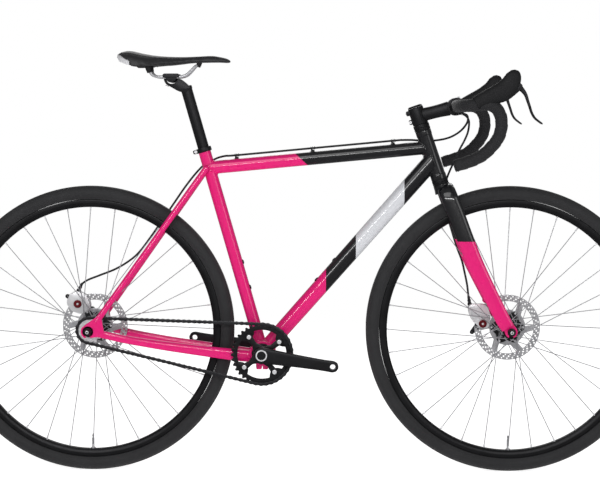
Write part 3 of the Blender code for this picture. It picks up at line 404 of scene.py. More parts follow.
    def stand_in(self, node, material, smooth=35):
        """The piece that stands for one CAD node."""
        return self.piece(node + "_fine", material, node=node, smooth=smooth)


def carve(made, cutter):
    """Cuts one piece's mesh by another piece, which is then removed."""
    modifier = made.modifiers.new("cut", "BOOLEAN")
    modifier.operation = "DIFFERENCE"
    modifier.object = cutter
    bake(made, evaluated(made))
    made.data.set_sharp_from_angle(angle=math.radians(35))
    bpy.data.objects.remove(cutter)


# ---------------------------------------------------------------- materials

PINK = (0.74, 0.004, 0.165)
BLACK = (0.007, 0.007, 0.0085)
SILVER = (0.63, 0.64, 0.67)
PAINT_ROUGHNESS = 0.28


class Material:
    """Procedural material; positions come from the piece's own coordinates, in metres."""

    made = {}

    def __init__(self, name, roughness=0.5, metallic=0.0, **sockets):
        self.material = bpy.data.materials.new("fine_" + name)
        Material.made[name] = self.material
        self.material.use_nodes = True
        self.nodes = self.material.node_tree.nodes
        self.links = self.material.node_tree.links
        self.shader = self.nodes["Principled BSDF"]
        self.shader.inputs["Roughness"].default_value = roughness
        self.shader.inputs["Metallic"].default_value = metallic
        for socket, value in sockets.items():
            self.shader.inputs[socket.replace("_", " ")].default_value = value
        self.place = self.nodes.new("ShaderNodeTexCoord").outputs["Object"]

    def node(self, kind, inputs, **settings):
        made = self.nodes.new("ShaderNode" + kind)
        for name, value in settings.items():
            setattr(made, name, value)
        for name, value in inputs.items():
            if isinstance(value, bpy.types.NodeSocket):
                self.links.new(value, made.inputs[name])
            else:
                made.inputs[name].default_value = value
        return made

    def noise(self, scale, detail=4):
        return self.node("TexNoise", {"Vector": self.place, "Scale": scale, "Detail": detail}).outputs["Fac"]

    def cells(self, scale):
        return self.node("TexVoronoi", {"Vector": self.place, "Scale": scale}).outputs["Distance"]

    def threads(self, scale, distortion):
        """Slanting bands, as of woven threads."""
        inputs = {"Vector": self.place, "Scale": scale, "Distortion": distortion, "Detail": 2.0}
        return self.node("TexWave", inputs, wave_type="BANDS", bands_direction="DIAGONAL").outputs["Fac"]

    def along(self, direction):
        """Distance in metres from the origin along a direction."""
        return self.node("VectorMath", {0: self.place, 1: direction}, operation="DOT_PRODUCT").outputs["Value"]

    def math(self, operation, first, second=0.0):
        return self.node("Math", {0: first, 1: second}, operation=operation).outputs[0]

    def spread(self, factor, **limits):
        """The factor carried over to other limits, such as To_Min and To_Max."""
        inputs = {name.replace("_", " "): value for name, value in limits.items()}
        return self.node("MapRange", {"Value": factor, **inputs}).outputs[0]

    def mixed(self, factor, first, second):
        colours = [tone if isinstance(tone, bpy.types.NodeSocket) else (*tone, 1) for tone in (first, second)]
        return self.node("Mix", {0: factor, 6: colours[0], 7: colours[1]}, data_type="RGBA").outputs[2]

    def colour(self, socket):
        self.links.new(socket, self.shader.inputs["Base Color"])
        return self

    def shaded(self, factor, dark, light):
        """Colour between two, by a factor."""
        return self.colour(self.mixed(factor, dark, light))

    def rough(self, factor, low, high):
        self.links.new(self.spread(factor, To_Min=low, To_Max=high), self.shader.inputs["Roughness"])
        return self

    def bump(self, factor, height, strength):
        """Bump of a height in millimetres, on top of an earlier one."""
        made = self.node("Bump", {"Height": factor, "Distance": height * MM, "Strength": strength})
        earlier = self.shader.inputs["Normal"].links
        if earlier:
            self.links.new(earlier[0].from_socket, made.inputs["Normal"])
        self.links.new(made.outputs[0], self.shader.inputs["Normal"])
        return self


def speckled(base, spread):
    """A darker and a lighter tone of one colour."""
    return tuple(c * (1 - spread) for c in base), tuple(min(1, c * (1 + spread)) for c in base)


def lacquer(name, roughness):
    """Clear coat with orange peel; the caller gives it its colour."""
    coat = {"Coat_Weight": 1.0, "Coat_Roughness": 0.04, "Coat_IOR": 1.5}
    made = Material(name, roughness, Specular_IOR_Level=0.3, **coat)
    made.rough(made.noise(35), roughness * 0.8, roughness * 1.25)
    return made.bump(made.noise(400, 2), 0.005, 0.2)


def paint(name, tone, roughness=PAINT_ROUGHNESS):
    """Gloss paint with a faint mottle."""
    made = lacquer(name, roughness)
    return made.shaded(made.noise(90), *speckled(tone, 0.04))


def zoned_paint(name, direction, zones):
    """Gloss paint whose colour changes at distances along a direction, in millimetres."""
    made = lacquer(name, PAINT_ROUGHNESS)
    reach = made.along(direction)
    mottle = made.noise(90)
    tone = made.mixed(mottle, *speckled(zones[0][1], 0.06))
    for start, colour in zones[1:]:
        past = made.math("GREATER_THAN", reach, start * MM)
        tone = made.mixed(past, tone, made.mixed(mottle, *speckled(colour, 0.06)))
    return made.colour(tone)


def metal(name, tone, roughness, metallic=0.4):
    """Bright metal with fine grain."""
    made = Material(name, roughness, metallic)
    made.shaded(made.noise(60), *speckled(tone, 0.1))
    grain = made.noise(900, 3)
    made.rough(grain, roughness * 0.75, roughness * 1.3)
    return made.bump(grain, 0.01, 0.5)


def anodised(name, tone, roughness=0.42):
    """Black or coloured anodised alloy: blasted grain, worn a touch lighter in patches."""
    made = Material(name, roughness, 0.55, Specular_IOR_Level=0.45)
    patches = made.spread(made.noise(28, 6), From_Min=0.35, From_Max=0.75)
    made.shaded(patches, *speckled(tone, 0.22))
    grain = made.noise(1500, 2)
    made.rough(grain, roughness * 0.8, roughness * 1.2)
    return made.bump(grain, 0.02, 0.5)


def plastic(name, tone, roughness, grain, bump):
    """Moulded plastic or rubber with a fine cell texture."""
    made = Material(name, roughness, Specular_IOR_Level=0.3)
    made.shaded(made.noise(40), *speckled(tone, 0.15))
    texture = made.cells(grain)
    made.rough(texture, roughness * 0.85, roughness * 1.2)
    return made.bump(texture, bump, 0.6)


def tyre_rubber(name):
    """Moulded rubber: dusty mottle, fine casing threads in the side wall."""
    made = Material(name, 0.7, Specular_IOR_Level=0.35, Sheen_Weight=0.12, Sheen_Roughness=0.5)
    made.shaded(made.noise(22, 6), (0.013, 0.013, 0.0145), (0.024, 0.024, 0.026))
    made.rough(made.noise(120), 0.58, 0.8)
    return made.bump(made.threads(420, 0.4), 0.06, 0.5).bump(made.noise(1200, 2), 0.03, 0.5)


def tape_foam(name):
    """Cork-like bar tape: fine pits and flecks."""
    made = Material(name, 0.75, Sheen_Weight=0.08, Sheen_Roughness=0.45, Specular_IOR_Level=0.3)
    flecks = made.spread(made.noise(800, 3), From_Min=0.55, From_Max=0.72)
    made.shaded(flecks, (0.014, 0.014, 0.0155), (0.034, 0.034, 0.037))
    made.rough(made.noise(200), 0.62, 0.85)
    return made.bump(made.cells(650), 0.12, 0.7)


def leather(name, tone, roughness):
    """Pebbled synthetic leather."""
    made = Material(name, roughness, Specular_IOR_Level=0.45, Sheen_Weight=0.08, Sheen_Roughness=0.4)
    made.shaded(made.noise(30, 5), *speckled(tone, 0.2))
    pebbles = made.cells(900)
    made.rough(pebbles, roughness * 0.85, roughness * 1.2)
    return made.bump(pebbles, 0.1, 0.6).bump(made.noise(160, 4), 0.12, 0.5)


def rotor_steel(name):
    """Ground steel with circular marks from the brake pads about each wheel's axle."""
    made = Material(name, 0.3, 0.4)
    made.shaded(made.noise(50), (0.4, 0.4, 0.42), (0.56, 0.56, 0.58))
    place = made.node("SeparateXYZ", {"Vector": made.place}).outputs
    forward = made.math("SUBTRACT", made.math("ABSOLUTE", place["X"]), FRONT_AXLE[0] * MM)
    rise = made.math("SUBTRACT", place["Z"], WHEEL_RADIUS * MM)
    radial = made.node("CombineXYZ", {"X": forward, "Z": rise}).outputs[0]
    radius = made.node("VectorMath", {0: radial}, operation="LENGTH").outputs["Value"]
    marks = made.math("SINE", made.math("MULTIPLY", radius, 9000.0))
    made.rough(marks, 0.2, 0.42)
    return made.bump(marks, 0.01, 0.4)


def make_materials():
    paint("pink_paint", PINK)
    paint("black_paint", BLACK, 0.3)
    zoned_paint("top_tube_paint", (0.682, 0, 0.731), [(0, PINK), (556.6, BLACK)])
    zoned_paint("down_tube_paint", FORWARD, [(0, PINK), (63, BLACK), (135, SILVER), (251, BLACK)])
    zoned_paint("fork_paint", UP, [(0, PINK), (563, BLACK)])
    anodised("black_alloy", (0.016, 0.016, 0.018))
    anodised("black_rim", (0.012, 0.012, 0.0135), 0.38)
    anodised("red_alloy", (0.16, 0.008, 0.014), 0.35)
    metal("silver_alloy", (0.78, 0.78, 0.8), 0.32)
    metal("spoke_steel", (0.34, 0.34, 0.36), 0.3)
    metal("rail_steel", (0.5, 0.5, 0.52), 0.3)
    metal("chain_steel", (0.03, 0.03, 0.033), 0.38, 0.6)
    rotor_steel("rotor_steel")
    tyre_rubber("tyre")
    plastic("black_rubber", (0.008, 0.008, 0.009), 0.66, 420, 0.12)
    plastic("black_plastic", (0.014, 0.014, 0.016), 0.42, 500, 0.04)
    tape_foam("bar_tape")
    leather("saddle_leather", (0.017, 0.017, 0.019), 0.5)
    leather("silver_patch", (0.56, 0.56, 0.58), 0.42)


# ---------------------------------------------------------------- frame

TOP_TUBE_ENDS = (on_seat_tube(TOP_TUBE_AT_SEAT), on_steering(TOP_TUBE_AT_HEAD))
DOWN_TUBE_ENDS = (BRACKET, on_steering(DOWN_TUBE_AT_HEAD))
SEAT_TUBE = (BRACKET, SEAT_UP, SEAT_TUBE_RADIUS)
HEAD_TUBE = (STEER_FOOT, STEER_UP, HEAD_TUBE_RADIUS)
SHELL = (BRACKET, ACROSS, SHELL_RADIUS)
TUBE_STEPS = 64
WELD_STEPS = 220
WELD_RADIUS = 2.3
WELD_RIPPLE = 0.22


def mitred_rings(start, end, radii, first, last, steps=TUBE_STEPS):
    """Rings at the two ends of a tube, each cut to the round surface that it meets, or square."""
    along = unit(end - start)
    side = unit(np.cross(along, ACROSS))
    angles = TURN * np.arange(steps) / steps
    spin = np.cos(angles)[:, None] * side + np.sin(angles)[:, None] * ACROSS
    near, far = start + spin * radii[0], end + spin * radii[1]
    if first:
        near = near + np.outer(surface_crossing(near, along, *first), along)
    if last:
        far = far - np.outer(surface_crossing(far, -along, *last), along)
    return near, far


def make_tube(node, material, ends, radii, first=None, last=None):
    """Tube between two places, with a weld bead round each cut end."""
    near, far = mitred_rings(*ends, radii, first, last)
    tube = Shape().loft([near + (far - near) * t for t in np.linspace(0, 1, 25)])
    for cut, index in ((first, 0), (last, 1)):
        if cut:
            bead = mitred_rings(*ends, radii, first, last, WELD_STEPS)[index]
            ripple = WELD_RADIUS + WELD_RIPPLE * np.sin(np.arange(WELD_STEPS) * TURN / 5)
            tube.sweep(bead, ripple, sides=10, across=FORWARD, loop=True)
    tube.stand_in(node, material)


def make_main_tubes():
    seat_tube_ends = (BRACKET, on_seat_tube(SEAT_TUBE_LENGTH - 1))
    make_tube("top_tube", "top_tube_paint", TOP_TUBE_ENDS, (TOP_TUBE_RADIUS,) * 2, SEAT_TUBE, HEAD_TUBE)
    make_tube("down_tube", "down_tube_paint", DOWN_TUBE_ENDS, DOWN_TUBE_RADII, SHELL, HEAD_TUBE)
    make_tube("seat_tube", "pink_paint", seat_tube_ends, (SEAT_TUBE_RADIUS,) * 2, SHELL)


def make_guides():
    """Open clips that hold the rear brake's housing over the top tube."""
    start, end = TOP_TUBE_ENDS
    along = unit(end - start)
    over = np.cross(along, ACROSS)
    over = over * np.sign(over[2])
    for index, x in enumerate(GUIDE_PLACES):
        shape = Shape()
        centre = start + (end - start) * (x - start[0]) / (end[0] - start[0])
        foot = centre + over * (TOP_TUBE_RADIUS - 1)
        middle = centre + UP * (TOP_TUBE_RADIUS + GUIDE_HEIGHT)
        shape.sweep([foot - along * 7, foot + along * 7], 3.4, 1.6, 20)
        for shift in (-4.2, 0, 4.2):
            angles = np.radians(np.linspace(-60, 240, 31))
            hoop = [middle + along * shift + ACROSS * 3.6 * math.cos(a) + over * 3.6 * math.sin(a)
                    for a in angles]
            shape.sweep(hoop, 0.95, sides=10, across=along)
        shape.sweep([foot, middle - over * 3.4], 1.5, 4.5, 16, ACROSS)
        shape.piece("housing_guide_%d" % (index + 1), "black_paint", "frame")


def make_head_tube():
    low, high = HEAD_TUBE_BOTTOM, HEAD_TUBE_TOP
    inner = STEERER_RADIUS + 0.9
    collar = HEAD_TUBE_RADIUS + 0.9
    profile = [(low, inner), (low, collar), (low + 11, collar), (low + 13, HEAD_TUBE_RADIUS),
               (high - 13, HEAD_TUBE_RADIUS), (high - 11, collar), (high, collar), (high, inner)]
    Shape().ring(profile, 0.9, STEER_FOOT, STEER_UP).stand_in("head_tube", "black_paint")
    bore, outer = STEERER_RADIUS + 0.6, CUP_RADIUS
    cups = (("headset_cup_lower", low - 12.6, 12.3), ("headset_cup_upper", high + 0.3, 15.7))
    for node, foot, height in cups:
        profile = [(0, bore), (0, outer - 0.6), (0.42, outer), (0.45, outer - 0.9), (0.52, outer - 0.9),
                   (0.55, outer), (1, outer - 0.3), (1, bore)]
        profile = [(foot + height * part, radius) for part, radius in profile]
        Shape().ring(profile, 0.5, STEER_FOOT, STEER_UP).stand_in(node, "black_alloy")


def make_bracket():
    """Shell with two pinch lugs across its slit, their bolts, and the bearing cups."""
    half, bore = SHELL_HALF_WIDTH, 24.4
    profile = [(-half, bore), (-half, SHELL_RADIUS), (half, SHELL_RADIUS), (half, bore)]
    shape = Shape().ring(profile, 1.2, BRACKET, ACROSS)
    top, bottom = BRACKET[2] - 26, BRACKET[2] - 39
    for side in (-1, 1):
        rear = BRACKET[0] + side * 7.7 - 6.3
        front = BRACKET[0] + side * 7.7 + 6.3
        lug = [(rear, bottom), (front, bottom), (front, top), (rear, top)]
        shape.plate([rounded(lug, 2)], -30, 30, 0.8)
    shape.stand_in("bottom_bracket_shell", "pink_paint")
    bolts = Shape()
    for y in (-18, 18):
        bolts.bolt(BRACKET + vec(14, y, -33), FORWARD, 3.6, 3.2)
        bolts.bolt(BRACKET + vec(-14, y, -33), -FORWARD, 3.6, 1.6)
    bolts.piece("bracket_pinch_bolts", "silver_alloy", "frame")
    profile = [(34.3, 12.7), (34.3, 24.5), (36.5, 25), (38.8, 25), (39.8, 23.5), (39.8, 12.7)]
    for outward, name in ((-ACROSS, "right"), (ACROSS, "left")):
        cup = Shape().ring(profile, 0.5, BRACKET, outward)
        for notch in range(8):
            cup.bolt(BRACKET + outward * 39.2 + 21 * upright(TURN * notch / 8), outward, 1.7, 1.0, 0.5)
        cup.stand_in("bottom_bracket_cup_" + name, "black_alloy")


# Left chainstay: x, y, z, half width and half height
CHAINSTAY = [
    (-117, 24.4, 282.5, 8.5, 13.9), (-122, 24.5, 283, 8.5, 14), (-165, 31, 288, 8.3, 14),
    (-300, 46, 307, 8.3, 11.5), (-380, 57, 320.5, 8, 10), (-424, 63, 329, 7.6, 9.5), (-484, 66.5, 343, 7, 9),
]
SEATSTAY_TOP = vec(-226, 19, 735)
SEATSTAY_FOOT = vec(-487, 68, 369)
SEATSTAY_RADIUS = 7.5
SEATSTAY_DOME = 9


def with_slot(outline, centre, half_width):
    """The outline with a slot that runs from a round end at the centre down through its edge."""
    x, z = centre
    inside = [p for p in outline if not (p[1] < z and abs(p[0] - x) < half_width + 0.6)]
    first = next(i for i, p in enumerate(inside)
                 if p[1] < z and p[0] < x and inside[i - len(inside) + 1][0] > x)
    inside = inside[first + 1:] + inside[:first + 1]
    edge = min(p[1] for p in inside)
    slot = [(x - half_width, edge + 0.4), *arc((x, z), half_width, 180, 0, 16), (x + half_width, edge + 0.4)]
    return np.array([*inside, *slot])


def make_stays():
    stay = smooth_path(CHAINSTAY, 8)
    x, y, z = CHAINSTAY[1][:3]
    ring = np.linspace(0, TURN, 90, endpoint=False)
    bead = [vec(x + 1.5, y + 9.3 * math.cos(a), z + 14.5 * math.sin(a)) for a in ring]
    along = unit(SEATSTAY_FOOT - SEATSTAY_TOP)
    dome = np.linspace(0, 1, 9)[:-1]
    cap = [SEATSTAY_TOP - along * SEATSTAY_DOME * (1 - t) for t in dome]
    radii = [max(0.6, SEATSTAY_RADIUS * math.sqrt(1 - (1 - t)**2)) for t in dome]
    straight = [SEATSTAY_TOP + (SEATSTAY_FOOT - SEATSTAY_TOP) * t for t in np.linspace(0, 1, 30)]
    for side in ("left", "right"):
        chainstay = Shape().sweep(stay[:, :3], stay[:, 3], stay[:, 4], 40, power=2.2)
        chainstay.sweep(bead, 2.1, sides=10, across=FORWARD, loop=True)
        seatstay = Shape().sweep(cap + straight, np.array(radii + [SEATSTAY_RADIUS] * len(straight)), sides=40)
        if side == "right":
            chainstay.mirrored()
            seatstay.mirrored()
        chainstay.stand_in("chainstay_" + side, "pink_paint")
        seatstay.stand_in("seatstay_" + side, "pink_paint")


REAR_MOUNT = (-527, 386)


def make_dropouts():
    """Slotted axle plates; the left one carries the arm for the rear brake."""
    low, high = DROPOUT_SPAN
    centre = flat(REAR_AXLE)
    outline = wrapped([(*centre, 17), (-474, 342.5, 7), (-479, 380, 6)])
    for side in ("left", "right"):
        plate = Shape().plate([with_slot(list(outline), centre, AXLE_SLOT)], low, high, 0.7)
        ridge = with_slot(list(circle(centre, 13.5, 48)), centre, AXLE_SLOT)
        plate.plate([ridge], low - 0.5, high, 0.3)
        if side == "left":
            arm = wrapped([(-515, 358, 9), (*REAR_MOUNT, 7.5)])
            plate.plate([arm, circle(REAR_MOUNT, 3, 20)], low, high, 0.7)
        else:
            plate.mirrored()
        plate.stand_in("dropout_" + side, "pink_paint")
    bolt = Shape().bolt(vec(REAR_MOUNT[0], high - 0.2, REAR_MOUNT[1]), ACROSS, 5.2, 3.4)
    bolt.piece("rear_mount_bolt", "silver_alloy", "frame")


def make_seat_clamp():
    """Collar with a lip over the tube's end, two ears behind it and their bolt."""
    low, high = SEAT_TUBE_LENGTH - 9.5, SEAT_TUBE_LENGTH + 1.5
    outer, inner, lip = SEAT_TUBE_RADIUS + 3.4, SEAT_TUBE_RADIUS + 0.1, SEATPOST_RADIUS + 0.4
    profile = [(low, inner), (low, outer - 0.7), (low + 3, outer), (high - 3, outer), (high, outer - 0.7),
               (high, lip), (high - 1.2, lip), (high - 1.2, inner)]
    clamp = Shape().ring(profile, 0.6, BRACKET, SEAT_UP)
    backward = vec(-SEAT_UP[2], 0, SEAT_UP[0])
    centre = on_seat_tube((low + high) / 2)
    for side in (-1, 1):
        start = centre + backward * 14 + ACROSS * side * 4.4
        clamp.sweep([start, start + backward * 9, start + backward * 12.6], np.array([3.6, 3.6, 2.6]),
                    np.array([5, 5, 3.8]), 28, ACROSS, power=3)
    clamp.stand_in("seat_clamp", "black_alloy")
    middle = centre + backward * 20
    bolt = Shape().rod(middle - ACROSS * 7.5, middle + ACROSS * 7.5, 2.4)
    bolt.bolt(middle - ACROSS * 7.8, -ACROSS, 3.9, 1.6)
    bolt.piece("seat_clamp_bolt", "silver_alloy", "frame")


def make_bottle_bosses():
    """Black screws in the two pairs of threaded bosses."""
    down_along = unit(DOWN_TUBE_ENDS[1] - DOWN_TUBE_ENDS[0])
    rows = [(down_along, vec(-down_along[2], 0, down_along[0]), 21.5, (219, 283)),
            (SEAT_UP, vec(SEAT_UP[2], 0, -SEAT_UP[0]), 17.2, (160, 224))]
    bosses = Shape()
    for along, outward, height, places in rows:
        for place in places:
            foot = BRACKET + along * place
            bosses.rod(foot + outward * (height - 5), foot + outward * (height - 1), 6, 0.8)
            bosses.bolt(foot + outward * (height - 1.2), outward, 4.2, 1.2, 0.5)
    bosses.piece("bottle_boss_screws", "black_alloy", "frame")


# ---------------------------------------------------------------- fork

# Distance up the steering axis, forward, y, half width and half thickness of the left blade
FORK_STATIONS = [
    (372, 6, 0, 21, 13), (370.5, 6.2, 18, 20.5, 12), (363, 6.6, 31.5, 20.5, 11), (350, 7.2, 37.4, 20.5, 11),
    (335, 7.8, 39, 20.5, 11), (307, 9.1, 41.5, 20.5, 10.5), (250, 10.8, 46, 20, 10), (192, 13, 50, 20, 9),
    (140, 18.7, 53, 19, 8), (86, 26.2, 55.5, 18, 7), (34, 33.5, 57, 17.3, 6), (12, 38.5, 57, 16, 5.5),
]
CROWN_END = 335
FORK_SIDES = 48
FORK_POWER = 2.3
BLADE_TIP_SPAN = (50.3, 57)
BRAKE_TAB_SPAN = (52.5, 60)
# Each brake tab's foot on the blade and its end: x, z and radius
BRAKE_TABS = ([(472, 405, 9), (452, 412, 6)], [(492, 352, 9), (473, 341, 6)])


def make_crown(rows, points):
    """Crown from one blade's top to the other's, with the steerer."""
    path = np.vstack([points[::-1], mirror(points[1:])])
    wide = np.concatenate([rows[::-1, 3], rows[1:, 3]])
    thick = np.concatenate([rows[::-1, 4], rows[1:, 4]])
    shape = Shape().sweep(path, wide, thick, FORK_SIDES, STEER_FORWARD, power=FORK_POWER)
    profile = [(366, 0), (366, CUP_RADIUS + 1.5), (378, CUP_RADIUS), (385.5, CUP_RADIUS),
               (385.8, CUP_RADIUS - 1), (385.8, STEERER_RADIUS), (579.5, STEERER_RADIUS), (579.5, 0)]
    shape.knob(profile, 0.8, STEER_FOOT, STEER_UP)
    shape.stand_in("fork_crown_and_steerer", "fork_paint")


def make_blade(side, rows, points):
    """Blade with its slotted tip; the left one carries the front brake's tabs."""
    shape = Shape().sweep(points, rows[:, 3], rows[:, 4], FORK_SIDES, STEER_FORWARD, power=FORK_POWER)
    centre = flat(FRONT_AXLE)
    tip = wrapped([(*centre, 15), (493, 372, 10)])
    shape.plate([with_slot(list(tip), centre, AXLE_SLOT)], *BLADE_TIP_SPAN, 0.7)
    if side == "left":
        for tab in BRAKE_TABS:
            shape.plate([wrapped(tab), circle(tab[1][:2], 2.6, 20)], *BRAKE_TAB_SPAN, 0.7)
    else:
        shape.mirrored()
    shape.stand_in("fork_blade_" + side, "fork_paint")


def make_fork():
    rows = smooth_path(FORK_STATIONS, 5)
    points = np.array([on_steering(*row[:3]) for row in rows])
    crown = rows[:, 0] >= CROWN_END - 0.01
    make_crown(rows[crown], points[crown])
    blade_start = np.argmax(~crown) - 1
    for side in ("left", "right"):
        make_blade(side, rows[blade_start:], points[blade_start:])
    bolts = Shape()
    for tab in BRAKE_TABS:
        bolts.bolt(vec(tab[1][0], BRAKE_TAB_SPAN[1], tab[1][1]), ACROSS, 4.6, 4.2)
    bolts.piece("front_mount_bolts", "silver_alloy", "fork")


# ---------------------------------------------------------------- stem, bar and controls

STEM_LOW = HEAD_TUBE_TOP + 16.3
STEM_HIGH = 580.3
STEM_MIDDLE = on_steering((STEM_LOW + STEM_HIGH) / 2)
STEM_FORWARD = unit(BAR_CENTRE - STEM_MIDDLE)
STEM_OVER = np.cross(STEM_FORWARD, ACROSS) * np.sign(np.cross(STEM_FORWARD, ACROSS)[2])
STEM_CLAMP_RADIUS = 18.6
STEM_BACK = 17.5
BAR_CLAMP_OUTER = 21.2
BAR_CLAMP_INNER = 16.3
BAR_CLAMP_HALF_WIDTH = 22
FACEPLATE_WINDOW = 9
CLAMP_GAP = 0.4


def clamp_half(shape, first, last, shift, spans):
    """Half ring round the bar, between two angles in degrees, over spans of y."""
    angles = np.radians(np.linspace(first, last, 37))
    section = [BAR_CENTRE + STEM_FORWARD * radius * math.cos(a) + STEM_OVER * radius * math.sin(a)
               for radius, turn in ((BAR_CLAMP_OUTER, angles), (BAR_CLAMP_INNER, angles[::-1])) for a in turn]
    section = np.array(section) + STEM_FORWARD * shift
    centre = section.mean(0)
    for low, high in spans:
        shape.loft([centre + (section - centre) * grow + ACROSS * y
                    for y, grow in zip((low, low + 1, high - 1, high), (0.985, 1, 1, 0.985))])
    return section


def make_stem():
    """Tube from the steerer's clamp to the bar's, with the steerer clamp's ears."""
    outer, bore = STEM_CLAMP_RADIUS, STEERER_RADIUS + 0.3
    shape = Shape().ring([(STEM_LOW, bore), (STEM_LOW, outer), (STEM_HIGH, outer), (STEM_HIGH, bore)], 1.6,
                         STEER_FOOT, STEER_UP)
    length = np.linalg.norm(BAR_CENTRE - STEM_MIDDLE)
    reach = np.linspace(8, length - STEM_BACK, 24)
    waist = 1 - 0.09 * np.sin(np.pi * (reach - 8) / (length - STEM_BACK - 8))
    path = [STEM_MIDDLE + STEM_FORWARD * r for r in reach]
    shape.sweep(path, (15 + reach / length) * waist, (16.5 + reach / length) * waist, 48, power=2.5)
    for side in (-4.3, 4.3):
        for rise in (-11, 11):
            foot = STEM_MIDDLE - STEM_FORWARD * (outer - 1) + STEER_UP * rise + ACROSS * side
            shape.sweep([foot + STEM_FORWARD * reach for reach in (6, 0, -5.5, -7.5)],
                        np.array([3.7, 3.7, 3.7, 2.4]), np.array([6, 6, 6, 4.4]), 24, power=3)
    half = BAR_CLAMP_HALF_WIDTH
    clamp_half(shape, 90, 270, -CLAMP_GAP, [(-half, half)])
    shape.stand_in("stem", "black_alloy")


def make_faceplate():
    """Front half of the bar's clamp, cut open between its two bolt columns."""
    half, window = BAR_CLAMP_HALF_WIDTH, FACEPLATE_WINDOW
    face = Shape()
    section = clamp_half(face, -90, 90, CLAMP_GAP, [(-half, -window), (window, half)])
    count = len(section) // 2
    for first, last in ((0, 9), (count - 9, count)):
        ring = np.array([*section[first:last], *section[2 * count - last:2 * count - first]])
        face.loft([ring + ACROSS * y for y in (-window - 0.5, window + 0.5)])
    face.stand_in("stem_faceplate", "black_alloy")


def make_stem_bolts():
    bolts = Shape()
    for y in (-15.5, 15.5):
        for rise in (-18.2, 18.2):
            head = BAR_CENTRE + STEM_FORWARD * 10.5 + STEM_OVER * rise + ACROSS * y
            bolts.rod(head - STEM_FORWARD * 16, head, 2.5)
            bolts.bolt(head, STEM_FORWARD, 3.8, 3.6)
    for rise, outward in ((-11, -ACROSS), (11, ACROSS)):
        ear = STEM_MIDDLE - STEM_FORWARD * (STEM_CLAMP_RADIUS + 4) + STEER_UP * rise
        bolts.bolt(ear + outward * 8, outward, 3.7, 2.2)
    bolts.piece("stem_bolts", "silver_alloy", "fork")
    profile = [(580.6, 0), (580.6, 17.5), (583.4, 17.3), (585.3, 14.5), (585.0, 5.4), (583.0, 5.4), (583.0, 0)]
    cap = Shape().knob(profile, 0.8, STEER_FOOT, STEER_UP, 96)
    cap.stand_in("headset_top_cap", "black_alloy")
    Shape().bolt(on_steering(582.8), STEER_UP, 4.6, 2.2).piece("top_cap_bolt", "silver_alloy", "fork")


# Left half of the bar from the middle outwards
BAR_ROUTE = [
    (374, 0, 884), (374, 33, 884), (374, 58, 884), (374, 68, 884), (374, 140, 884), (379, 176, 884.3),
    (391, 198, 885), (408, 208.5, 886), (428, 210, 887), (445, 210, 882), (457, 210, 869), (462.5, 210, 850),
    (461.5, 210, 829), (454.5, 210, 809), (440, 210, 790), (420, 210, 771.5), (393, 210, 758), (358, 210, 747),
]
BAR_BULGE_END = 58
TAPE_SPACING = 1.6
TAPE_STEPS = 28
TAPE_PITCH = 21
TAPE_START_Y = 68
TAPE_END_X = 358
LAP_RISE = 0.09


def make_bar():
    """Drop bar that swells to its clamp size in the middle."""
    path = smooth_path(BAR_ROUTE, 3)
    swelling = np.clip((BAR_BULGE_END - path[:, 1]) / 25, 0, 1)**1.5
    sizes = BAR_RADIUS + (BAR_CLAMP_RADIUS - BAR_RADIUS) * swelling
    whole = np.vstack([mirror(path[::-1]), path[1:]])
    sizes = np.concatenate([sizes[::-1], sizes[1:]])
    Shape().sweep(whole, sizes, sides=48, across=FORWARD).stand_in("handlebar", "black_alloy")


def tape_sizes(path):
    """Radius at each vertex of the wrapped tape: overlapping turns that step up and slope away."""
    step = np.concatenate([[0], np.cumsum(np.linalg.norm(np.diff(path, axis=0), axis=1))])
    turn = np.arange(TAPE_STEPS) / TAPE_STEPS
    phase = (step[:, None] / TAPE_PITCH + turn) % 1
    lap = np.where(phase < LAP_RISE, phase / LAP_RISE, 1 - (phase - LAP_RISE) / (1 - LAP_RISE))
    puff = 0.07 * np.sin(step[:, None] * 0.31 + 9 * turn)
    return TAPE_RADIUS - 1.05 + lap + puff


def make_tape(side):
    """Bar tape with the finishing band at its inner end and the plug at its outer one."""
    whole = smooth_path(BAR_ROUTE, TAPE_SPACING)
    first = np.argmax(whole[:, 1] >= TAPE_START_Y)
    hooks = np.argmax(whole[:, 1] > 209.9)
    last = hooks + np.argmin(np.abs(whole[hooks:, 0] - TAPE_END_X))
    path = whole[first:last + 1]
    ends = np.minimum(np.arange(len(path)), np.arange(len(path))[::-1])
    sizes = BAR_RADIUS + (tape_sizes(path) - BAR_RADIUS) * np.clip(ends / 1.5, 0.2, 1)[:, None]
    tape = Shape().sweep(path, sizes, sides=TAPE_STEPS, across=FORWARD)
    ribs = [13.9 + 0.05 * (i % 2) for i in range(10)]
    finish = Shape().sweep(whole[first - 6:first + 8], np.array([12.4, 13.4, *ribs, 13.6, 13.0]),
                           sides=48, across=FORWARD)
    profile = [(-6, 0), (-6, 11), (0.2, 11), (0.2, 14.4), (1.8, 14.1), (2.6, 11.5), (2.4, 0)]
    plug = Shape().knob(profile, 0.7, path[-1], unit(path[-1] - path[-3]), 48)
    if side == "right":
        for shape in (tape, finish, plug):
            shape.mirrored()
    tape.stand_in("bar_tape_" + side, "bar_tape")
    finish.piece("tape_end_band_" + side, "black_plastic", "fork")
    plug.piece("bar_end_plug_" + side, "black_plastic", "fork")


